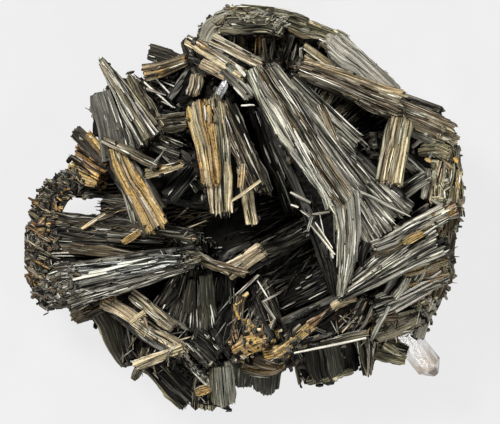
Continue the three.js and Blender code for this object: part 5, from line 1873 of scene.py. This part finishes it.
@dataclass
class Crust:
    """The rough dark ground that the laths stand in, which closes the gaps between them."""

    shrink: float = 0.75  # millimetres under the laths' faces
    uneven: Range = (0.7, 1.5)  # shares of that
    voxel: float = 0.9  # millimetres
    base: float = 1.2  # millimetres: what lies lower is pressed flat
    seed: int = 5

    def make(self, source: Object, surface: Surface) -> Object:
        """Builds it from the solid's own form.

        Args:
            source: the solid.
            surface: its material.

        Returns:
            The piece.
        """
        rough = self._merged(source)
        remesh = rough.modifiers.new("Even", "REMESH")
        remesh.mode = "VOXEL"
        remesh.voxel_size = self.voxel * MM
        made = evaluated_mesh(rough, "goethite_crust")
        bpy.data.objects.remove(rough)
        places = read_points(made)
        flat = places[:, 2] < self.base * MM
        rng = np.random.default_rng(self.seed)
        depth = self.shrink * MM * rng.uniform(*self.uneven, len(places))
        places = places - read_points(made, "normal") * depth[:, None]
        places[flat, 2] = 0.0
        made.materials.clear()
        made.materials.append(surface)
        move_points(made, places)
        return finish_piece("goethite_crust", made)

    @staticmethod
    def _merged(source: Object) -> Object:
        """A copy of the solid whose loose triangles are joined."""
        shape = bmesh.new()
        shape.from_mesh(source.data)
        bmesh.ops.remove_doubles(shape, verts=shape.verts, dist=MM * MM)
        mesh = bpy.data.meshes.new("crust_shape")
        shape.to_mesh(mesh)
        shape.free()
        return add_object("crust_shape", mesh)


@dataclass
class Studio:
    """The floor, the lights and the camera."""

    aim: Range = (1.0, -0.8)  # the point under the camera, in millimetres
    height: float = 1100.0  # of the camera over the frame's plane, in millimetres
    plane: float = 25.0  # the height of that plane, in millimetres
    span: float = 100.0  # of that plane across the frame, in millimetres
    floor_half: float = 3.0  # metres
    floor_drop: float = 0.0002  # metres under the cluster
    surround: float = 0.2

    def camera(self) -> None:
        """Looks straight down at the cluster."""
        data = bpy.data.cameras.new("camera")
        data.sensor_width = 36.0
        data.lens = data.sensor_width * self.height / self.span
        data.clip_start, data.clip_end = 0.1, 10.0
        made = bpy.data.objects.new("camera", data)
        made.location = (self.aim[0] * MM, self.aim[1] * MM, (self.height + self.plane) * MM)
        bpy.context.scene.collection.objects.link(made)
        bpy.context.scene.camera = made

    def floor(self) -> None:
        """A wide pale floor."""
        half = self.floor_half
        points = np.array([(-half, -half, 0), (half, -half, 0), (half, half, 0), (-half, half, 0)])
        mesh = plain_mesh("floor", points, [(0, 1, 2, 3)])
        mesh.materials.append(FloorFinish().build())
        floor = add_object("floor", mesh)
        floor.location.z = -self.floor_drop

    @staticmethod
    def lamp(name: str, place: Point, size: float, power: float) -> None:
        """A square soft light that faces the cluster, in metres and watts."""
        data = bpy.data.lights.new(name, "AREA")
        data.shape = "SQUARE"
        data.size = size
        data.energy = power
        made = bpy.data.objects.new(name, data)
        made.location = place
        made.rotation_mode = "QUATERNION"
        made.rotation_quaternion = (-Vector(place)).to_track_quat("-Z", "Y")
        bpy.context.scene.collection.objects.link(made)

    def lights(self) -> None:
        """One key light, one fill and a pale surround, in plain colours."""
        self.lamp("key_light", place=(-0.45, 0.5, 0.85), size=0.28, power=18.0)
        self.lamp("fill_light", place=(0.6, -0.4, 0.9), size=0.6, power=7.0)
        scene = bpy.context.scene
        scene.world = bpy.data.worlds.new("surround")
        scene.world.use_nodes = True
        background = scene.world.node_tree.nodes["Background"]
        background.inputs["Color"].default_value = opaque((1.0, 1.0, 1.0))
        background.inputs["Strength"].default_value = self.surround
        scene.view_settings.view_transform = "Standard"


def grow_blades(bed: Seedbed) -> None:
    """Makes each group of blades a piece, and the stumps under them another."""
    for number, (name, blades) in enumerate(BLADE_PIECES.items()):
        cloud = LathCloud(BLADE_SEED + number)
        for blade in blades:
            cloud.add_blade(blade)
        cloud.make(name, bed)
    cloud = LathCloud(STUMP_SEED)
    for stump in STUMPS:
        cloud.add_stump(stump)
    cloud.make("stump_laths", bed)


def lay_slivers(bed: Seedbed) -> None:
    """Lays the loose and the scattered slivers on the solid."""
    ground = Ground(frame["nodes"][CLUSTER_NODE])
    cloud = LathCloud(SLIVER_SEED)
    for thicket in THICKETS:
        cloud.add_thicket(thicket, ground)
    cloud.make("loose_slivers", bed)
    cloud = LathCloud(LITTER_SEED)
    for thicket in LITTER:
        cloud.add_litter(thicket, ground)
    cloud.make("scattered_slivers", bed)


def dress_crystals() -> None:
    """Dresses the two crystals, which keep their solids' shape."""
    quartz = QuartzFinish().build()
    for name in CRYSTAL_NODES:
        node = frame["nodes"][name]
        node.data.materials.clear()
        node.data.materials.append(quartz)
        log.info("%s: clear quartz", name)


def main() -> None:
    """Builds the specimen and its studio."""
    logging.basicConfig(level=logging.INFO, format="%(name)s %(message)s")
    studio = Studio()
    studio.camera()
    studio.floor()
    studio.lights()
    bed = Seedbed(
        LathTree().build(), LathKinds().collection(), GoethiteFinish().build(), *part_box(CLUSTER_NODE)
    )
    Crust().make(frame["nodes"][CLUSTER_NODE], CrustFinish().build())
    grow_blades(bed)
    lay_slivers(bed)
    dress_crystals()
    bed.clear()


if __name__ == "__main__":
    main()
